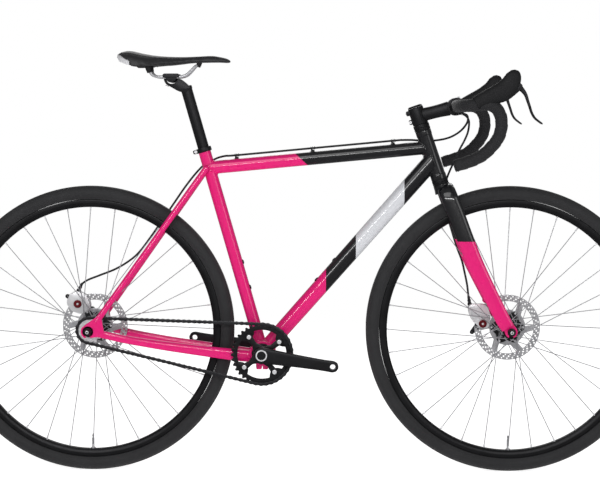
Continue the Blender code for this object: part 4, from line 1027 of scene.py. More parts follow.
# Left brake hood: x, z, half width and half height; then the lever's
HOOD_STATIONS = [
    (405, 889, 17.2, 16.4), (425, 899, 17.5, 18), (447, 908, 17.5, 21), (466, 917, 17, 23.5),
    (480, 930, 16, 22.5), (487, 945, 15.5, 19.5), (488.5, 957, 13.5, 15.5), (487.5, 965, 8, 8),
]
HOOD_NARROWING = 0.96
LEVER_STATIONS = [
    (499.5, 929, 5.5, 6), (505, 923.5, 5.5, 6), (511, 917, 5.5, 5), (517, 908, 5.5, 4), (521.5, 895, 6, 3.3),
    (526, 882, 6.5, 3), (530.7, 868, 6.5, 2.8), (537.5, 856.5, 6.5, 2.6), (546.7, 848.5, 6, 2.4),
    (556, 842, 4.5, 2.2),
]


def station_path(stations):
    rows = smooth_path([(x, 0, z, wide, high) for x, z, wide, high in stations], 2)
    return rows[:, :3] + ACROSS * LEVER_PIVOT[1], rows[:, 3], rows[:, 4]


def make_hood(side):
    """Rubber hood with shallow grip ribs and two beads at its rear edge, and the lever's bracket."""
    points, wide, high = station_path(HOOD_STATIONS)
    wide = wide * HOOD_NARROWING
    reach = np.arange(len(points)) / len(points)
    grip = 1 - 0.012 * (np.sin(reach * 150) > 0.4) * ((reach > 0.12) & (reach < 0.6))
    cap = np.sqrt(np.clip((1 - reach) / 0.05, 0.03, 1))
    hood = Shape().sweep(points, wide * grip * cap, high * grip * cap, 56, power=2.5)
    path, across, over = frames_along(points)
    angles = TURN * np.arange(72) / 72
    for edge, grow in ((0, 0.93), (3, 0.9)):
        side_reach, over_reach = across[edge] * wide[edge] * grow, over[edge] * high[edge] * grow
        bead = [path[edge] + side_reach * math.cos(a) + over_reach * math.sin(a) for a in angles]
        hood.sweep(bead, 1.1, sides=8, across=FORWARD, loop=True)
    bracket = Shape()
    cheek = wrapped([(501, 927, 8), (488, 932, 12), (486, 912, 7)])
    for y, outward in ((-7.6, -ACROSS), (7.6, ACROSS)):
        middle = LEVER_PIVOT[1] + y
        bracket.plate([cheek], middle - 1.3, middle + 1.3, 0.5)
        bracket.bolt(LEVER_PIVOT + ACROSS * y + outward * 1.2, outward, 3.6, 1.4, 0.45)
    if side == "right":
        hood.mirrored()
        bracket.mirrored()
    hood.stand_in("brake_hood_" + side, "black_rubber")
    bracket.piece("lever_bracket_" + side, "black_alloy", "fork")


def make_lever(side):
    points, wide, high = station_path(LEVER_STATIONS)
    reach = np.arange(len(points)) / (len(points) - 1)
    cap = np.sqrt(np.clip(np.minimum(reach, 1 - reach) / 0.03, 0.1, 1))
    lever = Shape().sweep(points, wide * cap, high * cap, 36, power=3)
    lever.rod(LEVER_PIVOT - ACROSS * 5.9, LEVER_PIVOT + ACROSS * 5.9, 5, 0.8)
    if side == "right":
        lever.mirrored()
    lever.stand_in("brake_lever_" + side, "black_alloy")


# ---------------------------------------------------------------- wheels

TYRE_CENTRE = 329
TYRE_SECTION = 18
TYRE_INSIDE = 14.6
TYRE_STEPS = 720
TREAD_DEPTH = 0.7
SIDE_WALL_DEPTH = 0.45
BEAD_START = 132
RIM_INNER = 295.4
RIM_HALF_WIDTH = 12


def tread_radii(index, lean):
    """Section radius round the tyre at one place of its section; lean is degrees away from the crown."""
    steps = np.arange(TYRE_STEPS)
    radius = np.full(TYRE_STEPS, float(TYRE_SECTION))
    if lean < 34:
        return radius - TREAD_DEPTH * 0.6 * ((steps // 2 + index) % 2)
    if lean < 42:
        return radius - TREAD_DEPTH
    if lean < 56:
        return radius - TREAD_DEPTH * ((steps + (index > 36) * 3) % 6 < 2)
    if lean > BEAD_START:
        return radius + 0.35 * math.sin(math.radians(min(1, (lean - BEAD_START) / 8) * 180))
    return radius - SIDE_WALL_DEPTH


def make_tyre(end, axle):
    """Open round section with a file tread on the crown and a row of small blocks on each shoulder."""
    angles = TURN * np.arange(TYRE_STEPS) / TYRE_STEPS
    spin = np.cos(angles)[:, None] * FORWARD + np.sin(angles)[:, None] * UP
    section = [(degrees, tread_radii(index, abs(degrees - 90)))
               for index, degrees in enumerate(np.linspace(-54, 234, 73))]
    section += [(degrees, np.full(TYRE_STEPS, TYRE_INSIDE)) for degrees in np.linspace(230, -50, 29)]
    rings = []
    for degrees, radius in section:
        bearing = math.radians(degrees)
        out = TYRE_CENTRE + radius * math.sin(bearing)
        rings.append(axle + ACROSS * (radius * math.cos(bearing))[:, None] + spin * out[:, None])
    Shape().loft(rings, loop=True).stand_in(end + "_tyre", "tyre", smooth=50)


def make_rim(end, axle):
    """Hooked rim, and the valve at its lowest place."""
    half = RIM_HALF_WIDTH
    side = [(6.5, RIM_INNER), (10.5, RIM_INNER + 5), (half, RIM_INNER + 10), (half, 312.2), (11.2, 313.8),
            (9.4, 313.8), (9.2, 309)]
    profile = [(-y, radius) for y, radius in side] + side[::-1]
    Shape().ring(profile, 1.6, axle, ACROSS, 288).stand_in(end + "_rim", "black_rim")
    foot = axle - UP * (RIM_INNER + 2)
    stem = [(0, 0), (0, 3.0)]
    for thread in range(22):
        stem += [(3 + thread * 1.1, 2.55), (3.5 + thread * 1.1, 2.9)]
    stem += [(28, 2.4), (28, 1.7), (31.5, 1.7), (31.5, 2.3), (35.5, 2.3), (36, 1.2), (38, 1.0), (38.2, 0)]
    valve = Shape().turned(stem, foot, UP, 24)
    valve.knob([(1.8, 0), (1.8, 5.6), (4.8, 5.6), (4.8, 0)], 0.6, foot, UP, 36)
    valve.piece(end + "_valve", "spoke_steel", end + "_wheel", smooth=25)


def make_spokes(end, side, axle, flange_y, turn):
    """Spokes of one side: a head on the flange, an elbow, a straight run and a nipple at the rim."""
    lean = 3 * TURN / SPOKES_PER_SIDE
    outward = ACROSS * math.copysign(1, flange_y)
    wires, nipples = Shape(), Shape()
    for index in range(SPOKES_PER_SIDE):
        sense = 1 if index % 2 == 0 else -1
        hub_angle = TURN * index / SPOKES_PER_SIDE + turn
        elbow = axle + SPOKE_CIRCLE_RADIUS * upright(hub_angle) + ACROSS * (flange_y + sense * 0.45)
        end_point = axle + (RIM_INNER + 3) * upright(hub_angle + sense * lean) + outward * 3
        along = unit(end_point - elbow)
        path = [elbow - outward * 4.4, elbow - outward * 1.6, elbow - outward * 0.4 + along * 0.5,
                elbow + along * 2, elbow + along * 30, end_point]
        wires.sweep(path, np.array([1.1, 1.1, 1.1, 1.1, 0.95, 0.95]), sides=10, across=FORWARD)
        wires.turned([(0, 0), (0, 1.5), (0.7, 1.9), (1.3, 1.5), (1.6, 0)], elbow - outward * 4, -outward, 16)
        nipple = [(0, 0), (0, 2.6), (3.5, 2.2), (3.5, 1.7), (13, 1.7), (14, 1.2), (14, 0)]
        nipples.turned(nipple, end_point, -along, 12)
    wires.stand_in(end + "_spokes_" + side, "spoke_steel")
    nipples.piece(end + "_nipples_" + side, "silver_alloy", end + "_wheel")


def make_hub(end, axle, body_rows, flanges):
    """Turned body with a drilled flange on each side, given as low y, high y and turn."""
    bore = 5.3
    hub = Shape().ring([(body_rows[0][0], bore), *body_rows, (body_rows[-1][0], bore)], 1.0, axle, ACROSS, 72)
    for low, high, turn in flanges:
        angles = TURN * np.arange(SPOKES_PER_SIDE) / SPOKES_PER_SIDE + turn
        holes = [circle(flat(axle + SPOKE_CIRCLE_RADIUS * upright(angle)), 1.25, 12) for angle in angles]
        hub.plate([circle(flat(axle), 23.2, 96), circle(flat(axle), 10, 48), *holes], low, high, 0.5)
    hub.stand_in(end + "_hub", "black_alloy")


def make_rotor(end, axle, y):
    """Drilled brake track on six slanted struts, a black carrier inside it and the carrier's bolts."""
    centre = flat(axle)
    track = [circle(centre, ROTOR_RADIUS, 180), circle(centre, 17.5, 64)]
    for middle in range(30, 390, 60):
        window = [*arc(centre, 64.2, middle - 23.5, middle + 23.5, 14),
                  *arc(centre, 44, middle + 12, middle - 26, 10)]
        track.append(rounded(window, 3))
    for base in range(0, 360, 10):
        for radius, offset, size in ((76.3, 0, 1.9), (71.6, 3.3, 2.2), (67.3, 6.6, 1.6)):
            place = axle + radius * upright(math.radians(base + offset))
            track.append(circle(flat(place), size, 12))
    low, high = y - ROTOR_THICKNESS / 2, y + ROTOR_THICKNESS / 2
    Shape().plate(track, low, high, 0.15).stand_in(end + "_rotor", "rotor_steel", smooth=25)
    angles = TURN * np.arange(180) / 180
    outline = [flat(axle + (37.5 + 4.5 * math.cos(6 * angle)) * upright(angle)) for angle in angles]
    carrier = Shape().plate([outline, circle(centre, 15.6, 64)], low - 1.0, high + 1.0, 0.5)
    sleeve = [(low - 2.4, 15.4), (low - 2.4, 30), (high + 1.6, 30), (high + 1.6, 15.4)]
    carrier.ring(sleeve, 0.9, axle, ACROSS, 72)
    carrier.piece(end + "_rotor_carrier", "black_alloy", end + "_wheel")
    bolts = Shape()
    for step in range(6):
        outward = upright(TURN * step / 6)
        bolts.bolt(axle + 22 * outward + ACROSS * (high + 1.5), ACROSS, 3.6, 1.8)
        bolts.bolt(axle + 38.6 * outward + ACROSS * (low - 0.9), -ACROSS, 2.6, 1.0, 0.4)
    bolts.piece(end + "_rotor_bolts", "silver_alloy", end + "_wheel")


# Hub bodies: y and radius; flanges: low y, high y and turn
FRONT_HUB = [
    (-49.7, 8), (-44, 9.5), (-37.5, 10), (-36.5, 14), (-33, 12.5), (-20, 11.8), (5, 11.8), (17, 12.6),
    (21, 14.5), (37.2, 15.2), (38.3, 13), (44, 9.5), (49.7, 8),
]
REAR_HUB = [
    (-67.2, 8), (-56.5, 9.5), (-55.2, 14.8), (-36, 15), (-33, 13.6), (-15, 12.6), (10, 12.6), (27, 13.6),
    (33, 15), (50.3, 15), (51.2, 13), (60, 9.5), (67.2, 8),
]
HALF_PITCH = math.pi / SPOKES_PER_SIDE
FRONT_FLANGES = [(-37.9, -35, 0), (20.6, 24.4, HALF_PITCH)]
REAR_FLANGES = [(-37.4, -34.4, 0), (29.6, 33.4, HALF_PITCH)]
FRONT_SPOKE_PLACES = (-39.2, 25.7)
REAR_SPOKE_PLACES = (-38.6, 34.7)


def make_wheel(end, axle, hub_rows, flanges, spoke_places, rotor_y):
    make_hub(end, axle, hub_rows, flanges)
    make_tyre(end, axle)
    make_rim(end, axle)
    make_spokes(end, "right", axle, spoke_places[0], 0)
    make_spokes(end, "left", axle, spoke_places[1], HALF_PITCH)
    make_rotor(end, axle, rotor_y)


# ---------------------------------------------------------------- axles and brakes

def make_axle(end, body, axle, dropout_outer, lever_angle):
    """Skewer with its nut, its end and its cam housing, and the quick-release lever."""
    nut = dropout_outer + 0.3
    for side, name, length in ((-1, "right", 13), (1, "left", 14)):
        outer = 7 if side < 0 else 8
        rows = [(nut, 0), (nut, 9.9), (nut + 1.2, 10), (nut + 4, 10), (nut + 5, outer + 1.4),
                (nut + length - 1, outer), (nut + length, outer - 1), (nut + length, 0)]
        shape = Shape().knob(rows, 0.5, axle, ACROSS * side)
        for groove in range(30 if side < 0 else 0):
            angle = TURN * groove / 30
            place = axle + 9.7 * upright(angle) + ACROSS * side * (nut + 1.2)
            shape.rod(place, place + ACROSS * side * 2.6, 0.55, 0.2, 8)
        if side < 0:
            shape.rod(axle - ACROSS * nut, axle + ACROSS * nut, 4.6, 0.3)
            shape.stand_in(end + "_axle_skewer", "black_alloy")
            tip = Shape().bolt(axle - ACROSS * (nut + length - 0.3), -ACROSS, 4, 1, 0.6)
            tip.piece(end + "_axle_end", "silver_alloy", body)
        else:
            shape.piece(end + "_cam_housing", "black_alloy", body)
    rise = upright(lever_angle)
    foot = axle + ACROSS * (nut + 20)
    rows = [(-8, 4.0, 6.2), (-3, 3.8, 6.6), (0, 3.8, 7), (10, 3.3, 6.2), (22, 3.1, 6.1), (34, 2.9, 7.2),
            (46, 2.4, 7.2)]
    stations = smooth_path([(0, reach, 0, thick, wide) for reach, thick, wide in rows], 1.5)
    reach = stations[:, 1]
    dip = 3 * np.clip(reach / 46, 0, 1)**2
    points = foot + np.outer(reach, rise) - np.outer(dip, ACROSS)
    cap = np.sqrt(np.clip(np.minimum(reach + 8, 46 - reach) / 4, 0.06, 1))
    lever = Shape().sweep(points, stations[:, 3] * cap, stations[:, 4] * cap, 36, power=2.6)
    lever.rod(foot - ACROSS * 5.2, foot + ACROSS * 4.4, 5, 0.9)
    lever.stand_in(end + "_qr_lever", "black_alloy")


FRONT_BRAKE_PIVOT = (445, 357)
REAR_BRAKE_PIVOT = (-547, 402)


def make_brake(end, body, arm_body, axle, rotor_y, outline, low_y, high_y, pivot, arm_end, entry):
    """Silver caliper with a rotor slot, pads and screws, and the black arm that the cable pulls."""
    caliper = Shape().plate([rounded(outline, 9)], low_y, high_y, 2.4)
    made = caliper.stand_in(end + "_caliper_body", "silver_alloy")
    near, far, reach = rotor_y - 2.2, rotor_y + 2.2, ROTOR_RADIUS + 3
    slot = Shape().turned([(near, 0), (near, reach), (far, reach), (far, 0)], axle, ACROSS, 180)
    carve(made, slot.piece("slot_tool", "silver_alloy", body))
    place = vec(pivot[0], 0, pivot[1])
    knob = [(0, 0), (0, 9.6), (3.6, 9.2), (4.4, 8), (4.4, 4.4), (3.2, 4.2), (3.2, 0)]
    inner = Shape().knob(knob, 0.5, place + ACROSS * (low_y - 0.1), -ACROSS)
    for ridge in range(24):
        angle = TURN * ridge / 24
        foot = place + ACROSS * (low_y - 0.1) + 9.4 * upright(angle)
        inner.rod(foot, foot - ACROSS * 3.4, 0.75, 0.3, 8)
    inner.piece(end + "_pad_knob", "red_alloy", body)
    pads = Shape()
    toward = unit(axle - place)
    square = vec(-toward[2], 0, toward[0])
    middle = axle - toward * 71
    for side in (-1, 1):
        face = [flat(middle + toward * a + square * b) for a, b in ((-8, -10), (-8, 10), (8, 8), (8, -8))]
        near, far = sorted((rotor_y + side * 1.15, rotor_y + side * 2.6))
        pads.plate([rounded(face, 3)], near, far, 0.2)
    pads.piece(end + "_brake_pads", "chain_steel", body)
    screws = Shape()
    for x, z in outline[:2]:
        spot = vec(x, 0, z) + (place - vec(x, 0, z)) * 0.24
        screws.bolt(spot + ACROSS * (low_y + 0.3), -ACROSS, 3.6, 2.0)
    screws.bolt(place + ACROSS * (low_y - 3.1), -ACROSS, 2.6, 0.9)
    screws.piece(end + "_caliper_screws", "silver_alloy", body)
    arm_low = high_y + 0.3
    outlines = [wrapped([(*pivot, 11), (*arm_end, 5)]), circle(arm_end, 1.6, 16)]
    arm = Shape().plate(outlines, arm_low, arm_low + 6.6, 1.0)
    cap = [(arm_low + 6, 0), (arm_low + 6, 7.5), (arm_low + 7.0, 7.2), (arm_low + 7.0, 0)]
    arm.knob(cap, 0.3, place, ACROSS, 48)
    arm.stand_in(end + "_caliper_arm", "black_alloy")
    fixings = Shape().bolt(place + ACROSS * (arm_low + 6.9), ACROSS, 4.4, 1.6)
    fixings.bolt(vec(arm_end[0], arm_low + 6.5, arm_end[1]), ACROSS, 3.3, 1.8)
    fixings.piece(end + "_arm_bolts", "silver_alloy", arm_body)
    last, before = vec(*entry[-1]), vec(*entry[-2])
    along = unit(last - before)
    boot = [(-17, 0), (-17, 3.1), (-8, 3.6), (-7.4, 4.6), (-6, 4.6), (-5.4, 4.0), (0.5, 4.2), (0.5, 5.4),
            (5.5, 5.4), (5.5, 3.4), (9, 3.2), (9, 0)]
    Shape().knob(boot, 0.6, last, along, 40).piece(end + "_cable_boot", "black_plastic", body)


REAR_HOUSING_ROUTE = [
    (386, -62, 868), (398, -46, 862), (399, -30, 846), (385, -8, 826), (362, 13, 811), (335, 26, 804),
    (305, 30, 802), (270, 17, 804), (245, 4.5, 804), (224, 0, 802.5), (31, 0, 784.7), (-152, 0, 767.7),
    (-178, 4, 766),
    (-199, 14, 761), (-217, 24, 752), (-240, 29, 738), (-275, 31, 697), (-320, 37, 633), (-365, 43, 569),
    (-395, 48, 530), (-420, 51, 508), (-455, 55, 487), (-495, 57, 471), (-525, 59, 459), (-540, 60, 448),
    (-546, 60, 436),
]
FRONT_HOUSING_ROUTE = [
    (386, 62, 868), (400, 52, 864), (409, 44, 850), (407, 38, 826), (399, 35, 805), (387, 36, 782),
    (372, 44, 748), (358, 57, 712), (350, 63, 675), (356, 62, 630), (368, 62, 590), (382, 60, 545),
    (395, 56, 510),
    (402, 52, 480), (408, 48, 450), (411, 46, 425), (414, 46, 406),
]


def make_housings():
    rear = Shape().sweep(smooth_path(REAR_HOUSING_ROUTE, 3), HOUSING_RADIUS, sides=20)
    made = rear.piece("rear_brake_housing_fine", "black_plastic", "frame")
    world = made.matrix_world.copy()
    made.parent = None
    made.matrix_world = world
    del made["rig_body"]
    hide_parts("rear_brake_housing")
    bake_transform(made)
    front = Shape().sweep(smooth_path(FRONT_HOUSING_ROUTE, 3), HOUSING_RADIUS, sides=20)
    front.stand_in("front_brake_housing", "black_plastic")


def make_brakes():
    front = [(410, 386), (418, 366), (440, 345), (458, 345), (464, 360), (463, 384), (452, 404.5),
             (411, 404.5)]
    make_brake("front", "fork", "front_brake_arm", FRONT_AXLE, FRONT_ROTOR_Y, front, 26, 51.5,
               FRONT_BRAKE_PIVOT, (421, 333), FRONT_HOUSING_ROUTE)
    rear = [(-521, 384), (-515, 398), (-526, 424), (-548, 434), (-566, 428), (-576, 406), (-566, 386),
            (-540, 376)]
    make_brake("rear", "frame", "rear_brake_arm", REAR_AXLE, REAR_ROTOR_Y, rear, 39, 67.2,
               REAR_BRAKE_PIVOT, (-577, 418), REAR_HOUSING_ROUTE)


# ---------------------------------------------------------------- drive

def sprocket_radius(teeth):
    return CHAIN_PITCH / (2 * math.sin(math.pi / teeth))


def toothed_outline(centre, teeth, turn):
    """(x, z) outline of a sprocket: a round seat for each roller, and a blunt tooth between two."""
    pitch_radius = sprocket_radius(teeth)
    points = []
    for tooth in range(teeth):
        base = turn + TURN * tooth / teeth
        for offset, radius in ((-0.5, -3.9), (-0.41, -3.5), (-0.34, -2.5), (-0.26, -1.0), (-0.17, 0.9),
                               (-0.08, 1.8), (0.08, 1.8), (0.17, 0.9), (0.26, -1.0), (0.34, -2.5), (0.41, -3.5)):
            angle = base + offset * TURN / teeth
            points.append((centre[0] + (pitch_radius + radius) * math.cos(angle),
                           centre[2] + (pitch_radius + radius) * math.sin(angle)))
    return np.array(points)


def crank_point(distance, angle=0.0):
    turn = math.radians(CRANK_ANGLE + angle)
    return (BRACKET[0] + distance * math.cos(turn), BRACKET[2] + distance * math.sin(turn))


def make_chainring():
    low, high = CHAIN_LINE - 1.3, CHAIN_LINE + 1.3
    teeth = toothed_outline(BRACKET, RING_TEETH, math.radians(CRANK_ANGLE))
    inner = []
    for degrees in range(0, 360, 3):
        near = min(abs((degrees - tab + 180) % 360 - 180) for tab in RING_TABS)
        depth = 59 - 14 * max(0, 1 - (near / 17)**2)**0.5 if near < 17 else 59
        inner.append(crank_point(depth, degrees))
    ring = Shape().plate([teeth, np.array(inner)], low, high, 0.35)
    groove = [(0, 62), (0, 66), (0.5, 66.4), (0.5, 61.6)]
    ring.turned(groove, BRACKET + ACROSS * (low - 0.4), ACROSS, 120, loop=True)
    ring.stand_in("chainring", "black_alloy")


def make_crank_arm(side, angle):
    """Arm that tapers in width and thickness, with a round boss and a threaded pedal eye."""
    direction = upright(math.radians(CRANK_ANGLE + angle))
    middle = BRACKET + ACROSS * side * 66.4
    rows = [(-18.6, 6.4, 3), (-16, 6.4, 10), (-10, 6.4, 16), (0, 6.5, 18.8), (14, 6.5, 18.4), (40, 6.3, 17.2),
            (90, 6.1, 15), (140, 6.0, 13.6), (160, 6.0, 13.6), (CRANK_LENGTH, 6.0, 13.8), (180, 6.0, 11.4),
            (184, 6.0, 7.8), (186.2, 6.0, 2.2)]
    stations = smooth_path([(reach, 0, 0, thick, wide) for reach, thick, wide in rows], 2)
    points = middle + np.outer(stations[:, 0], direction)
    arm = Shape().sweep(points, stations[:, 3], stations[:, 4], 48, power=4.5)
    boss = [(40.8, 12.4), (40.8, 17.4), (43, 17.9), (61, 17.9), (61, 12.4)]
    arm.ring(boss, 0.6, BRACKET, ACROSS * side)
    return arm, direction


def make_cranks():
    for side, name, angle in ((-1, "right", 0), (1, "left", 180)):
        arm, direction = make_crank_arm(side, angle)
        if side < 0:
            arm.plate([spider_outline()], CHAIN_LINE - 8, CHAIN_LINE - 1.6, 1.6)
        else:
            arm.rod(BRACKET - ACROSS * 71.5, BRACKET + ACROSS * 60, 12, 0.6)
        made = arm.stand_in("crank_arm_" + name, "black_alloy")
        eye = BRACKET + direction * CRANK_LENGTH
        tool = Shape().rod(eye + ACROSS * side * 50, eye + ACROSS * side * 90, 7, 0.01, 48)
        carve(made, tool.piece("eye_tool", "black_alloy", "crank"))
        insert = [(60.9, 6.5), (60.9, 7.1), (72.2, 7.1), (72.2, 6.5)]
        for thread in range(8):
            insert += [(71.5 - thread * 1.3, 6.1), (70.9 - thread * 1.3, 6.5)]
        thread = Shape().turned(insert, eye, ACROSS * side, 48, loop=True)
        thread.piece("pedal_thread_" + name, "spoke_steel", "crank")
    bolts = Shape()
    for tab in RING_TABS:
        x, z = crank_point(BOLT_CIRCLE_RADIUS, tab)
        bolts.bolt(vec(x, CHAIN_LINE - 7.9, z), -ACROSS, 5.2, 1.8, 0.55)
        bolts.rod(vec(x, CHAIN_LINE + 1.2, z), vec(x, CHAIN_LINE + 2.6, z), 5, 0.5)
    bolts.piece("chainring_bolts", "silver_alloy", "crank")
    face = BRACKET - ACROSS * 72.4
    ring = [(0, 10.6), (0, 13.6), (1.6, 13.6), (1.6, 10.6)]
    Shape().ring(ring, 0.5, face, -ACROSS, 72).piece("spindle_ring", "silver_alloy", "crank")
    hexed = Shape().bolt(face - ACROSS * 0.2, -ACROSS, 10.4, 1.4, 0.62)
    hexed.piece("spindle_bolt", "black_alloy", "crank")
    cap = Shape().knob([(72.4, 0), (72.4, 11.5), (74.2, 11), (74.2, 0)], 0.6, BRACKET, ACROSS, 64)
    for pinch in (18, 31):
        place = BRACKET + upright(math.radians(CRANK_ANGLE + 180)) * pinch
        cap.bolt(place + ACROSS * 66.5 - UP * 17.6, -UP, 3.4, 1.6)
    cap.piece("left_crank_cap", "silver_alloy", "crank")


def spider_outline():
    """(x, z) outline of four arms that flare from the boss and end in round tabs."""
    points = []
    for degrees in np.arange(0, 360, 1.5):
        near = min(abs((degrees - tab + 180) % 360 - 180) for tab in RING_TABS)
        web = 19 + 15 * math.exp(-(near / 24)**2)
        half = math.degrees(math.asin(7.6 / BOLT_CIRCLE_RADIUS))
        tab = BOLT_CIRCLE_RADIUS + 7.6 * math.sqrt(max(0, 1 - (near / half)**2)) if near < half else 0
        neck = 52 * math.exp(-(max(0, near - half) / 4.2)**1.2) if near >= half else 0
        points.append(crank_point(max(web, tab, neck), degrees))
    return np.array(points)


def chain_run():
    """Pin places along the chain's closed centre line, one pitch apart, from the top of the ring."""
    ring, cog = sprocket_radius(RING_TEETH), sprocket_radius(COG_TEETH)
    line = BRACKET - REAR_AXLE
    slope = math.atan2(line[2], line[0])
    spread = math.asin((ring - cog) / np.linalg.norm(line))
    upper, lower = slope + math.pi / 2 + spread, slope - math.pi / 2 - spread
    path = []
    for centre, radius, first, last in ((BRACKET, ring, upper, lower), (REAR_AXLE, cog, lower, upper - TURN)):
        for angle in np.linspace(first, last, 400):
            path.append(centre + radius * upright(angle))
    path = np.array([*path, path[0]])
    reach = np.concatenate([[0], np.cumsum(np.linalg.norm(np.diff(path, axis=0), axis=1))])
    links = 2 * round(reach[-1] / CHAIN_PITCH / 2)
    places = np.linspace(0, reach[-1], links, endpoint=False)
    return np.stack([np.interp(places, reach, path[:, axis]) for axis in range(3)], 1)


def link_outline(start, end, radius, waist):
    """(x, z) outline of a figure-of-eight plate round two pins."""
    along = unit(end - start)
    square = vec(-along[2], 0, along[0])
    length = np.linalg.norm(end - start)
    points = []
    for centre, sense in ((end, 1), (start, -1)):
        for degrees in np.linspace(-105, 105, 13):
            angle = math.radians(degrees)
            spot = centre + sense * (along * math.cos(angle) + square * math.sin(angle)) * radius
            points.append(spot)
        points.append((start + end) / 2 + sense * square * waist)
    return np.array([flat(point) for point in points])


def make_chain():
    pins = chain_run()
    plates = Shape()
    for index, start in enumerate(pins):
        end = pins[(index + 1) % len(pins)]
        outline = link_outline(start, end, 4.1, 2.9)
        gap, thick = ((1.75, 1.0), (2.85, 1.0))[index % 2]
        for side in (-1, 1):
            near, far = sorted((CHAIN_LINE + side * gap, CHAIN_LINE + side * (gap + thick)))
            plates.plate([outline], near, far, 0.2)
        across = start + ACROSS * CHAIN_LINE
        plates.turned([(-4.1, 0), (-4.1, 1.7), (4.1, 1.7), (4.1, 0)], across, ACROSS, 12)
        roller = rounded([(-1.6, 0), (-1.6, 3.9), (1.6, 3.9), (1.6, 0)], 0.3, 2, closed=False)
        plates.turned(roller, across, ACROSS, 18)
    plates.stand_in("chain", "chain_steel")


def make_cog():
    low, high = CHAIN_LINE - 1.1, CHAIN_LINE + 1.1
    teeth = toothed_outline(REAR_AXLE, COG_TEETH, math.pi / COG_TEETH)
    cog = Shape().plate([teeth, circle(flat(REAR_AXLE), 15.5, 64)], low, high, 0.3)
    profile = [(CHAIN_LINE - 8, 15.6), (CHAIN_LINE - 8, 20.6), (CHAIN_LINE - 7, 21.8),
               (CHAIN_LINE + 3.2, 21.8), (CHAIN_LINE + 4, 21), (CHAIN_LINE + 4, 15.6)]
    cog.ring(profile, 0.4, REAR_AXLE, ACROSS)
    for notch in range(4):
        angle = TURN * notch / 4 + 0.4
        place = REAR_AXLE + vec(math.cos(angle) * 18.4, CHAIN_LINE - 7.9, math.sin(angle) * 18.4)
        cog.bolt(place, -ACROSS, 1.7, 0.5, 0.6)
    cog.stand_in("freewheel_cog", "silver_alloy")


# ---------------------------------------------------------------- seatpost and saddle

POST_HEAD = [(-328, 951), (-322, 938), (-292, 921), (-275, 916), (-262, 928), (-270, 938), (-287, 951)]


def make_seatpost():
    low, high, radius, bore = SEAT_TUBE_LENGTH - 150, SEATPOST_TOP, SEATPOST_RADIUS, 12.2
    profile = [(low, bore), (low, radius), (high - 9, radius), (high - 7, radius + 0.9),
               (high - 2, radius + 0.9), (high, radius), (high, bore)]
    post = Shape().ring(profile, 0.7, BRACKET, SEAT_UP)
    post.plate([rounded(POST_HEAD, 5)], -14.6, 14.6, 2.2)
    made = post.stand_in("seatpost", "black_alloy")
    cradle = Shape().turned([(-40, 0), (-40, 16.3), (40, 16.3), (40, 0)], SADDLE_AXIS, ACROSS, 96)
    carve(made, cradle.piece("cradle_tool", "black_alloy", "post"))
    bolts = Shape()
    for x, z, lean in ((-318, 939, -0.35), (-272, 930, 0.5)):
        axis = unit(vec(lean, 0, -1))
        bolts.bolt(vec(x, 0, z) + axis * 4, axis, 4, 2.4)
    bolts.piece("saddle_clamp_bolts", "silver_alloy", "post")


# Left rail from its rear end to the middle of the nose
RAIL_ROUTE = [
    (-359, 30, 968.5), (-352, 28, 959.5), (-341, 24, 955.3),
    (-325, 22, 955), (-290, 22, 955), (-273, 19, 959),
    (-262, 15, 968), (-251, 9, 980), (-245, 0, 983.5),
]


def make_rails():
    half = smooth_path(RAIL_ROUTE, 2)
    path = np.vstack([half, mirror(half[::-1])[1:]])
    Shape().sweep(path, RAIL_RADIUS, sides=28).stand_in("saddle_rails", "rail_steel")
    x, z = flat(SADDLE_AXIS)
    clamp = Shape().plate([rounded(arc((x, z), 15.9, 180, 360, 40), 0.4, 1)], -17.5, 17.5, 0.5)
    for side in (-1, 1):
        jaw = [*arc((x, z), 13.5, 190, 350, 30), (x + 20, z - 1.5), (x + 20, z + 6), (x + 16, z + 8),
               (x - 16, z + 8), (x - 20, z + 6), (x - 20, z - 1.5)]
        low, high = sorted((side * 17.2, side * 26.8))
        clamp.plate([rounded(jaw, 1.5, 2)], low, high, 1.2)
    top = [(x - 20, z + 3), (x + 20, z + 3), (x + 20, z + 7), (x + 14, z + 8), (x - 14, z + 8),
           (x - 20, z + 7)]
    clamp.plate([rounded(top, 1.2, 2)], -17.5, 17.5, 0.8)
    made = clamp.stand_in("saddle_clamp", "black_alloy")
    groove = Shape().sweep(path, RAIL_RADIUS + 0.25, sides=24)
    carve(made, groove.piece("groove_tool", "black_alloy", "seat"))


# Saddle sections from the rear: x, half width, height of the skirt's edge and of the top
SADDLE_STATIONS = [
    (-437, 38, 998, 1012), (-430, 57, 985, 1018), (-405, 70, 974, 1017), (-375, 70, 971, 1010),
    (-345, 58, 974, 1005), (-310, 42, 980, 1002.5), (-275, 30, 985.5, 1002),
    (-240, 23, 988, 1003.5), (-205, 19.5, 988, 1005.5),
    (-180, 17.5, 986.5, 1004), (-168, 15, 986.5, 1001), (-163, 11, 987.5, 998),
]
SWELL = 2.2
SWELL_LIMIT = 3.2


def saddle_ring(x, half, low, high):
    """Section of the padded cover: crowned top, round edge, and an underside hollowed between its skirts."""
    thick = min(11, (high - low) * 0.62)
    roof = high - thick
    ring = []
    for degrees in np.linspace(0, 360, 56, endpoint=False):
        angle = math.radians(degrees)
        y = half * np.sign(math.cos(angle)) * abs(math.cos(angle))**0.85
        lean = abs(y) / half
        edge = low + 1.6
        if degrees <= 180:
            z = edge + (high - edge) * abs(math.sin(angle))**0.62 * (1 - 0.04 * lean)
        else:
            hollow = (roof - edge) * (1 - lean**4) * min(1, abs(math.sin(angle)) * 2.2)
            z = edge + hollow - 2.2 * abs(math.sin(angle * 2))
        ring.append(vec(x, y, z))
    return ring


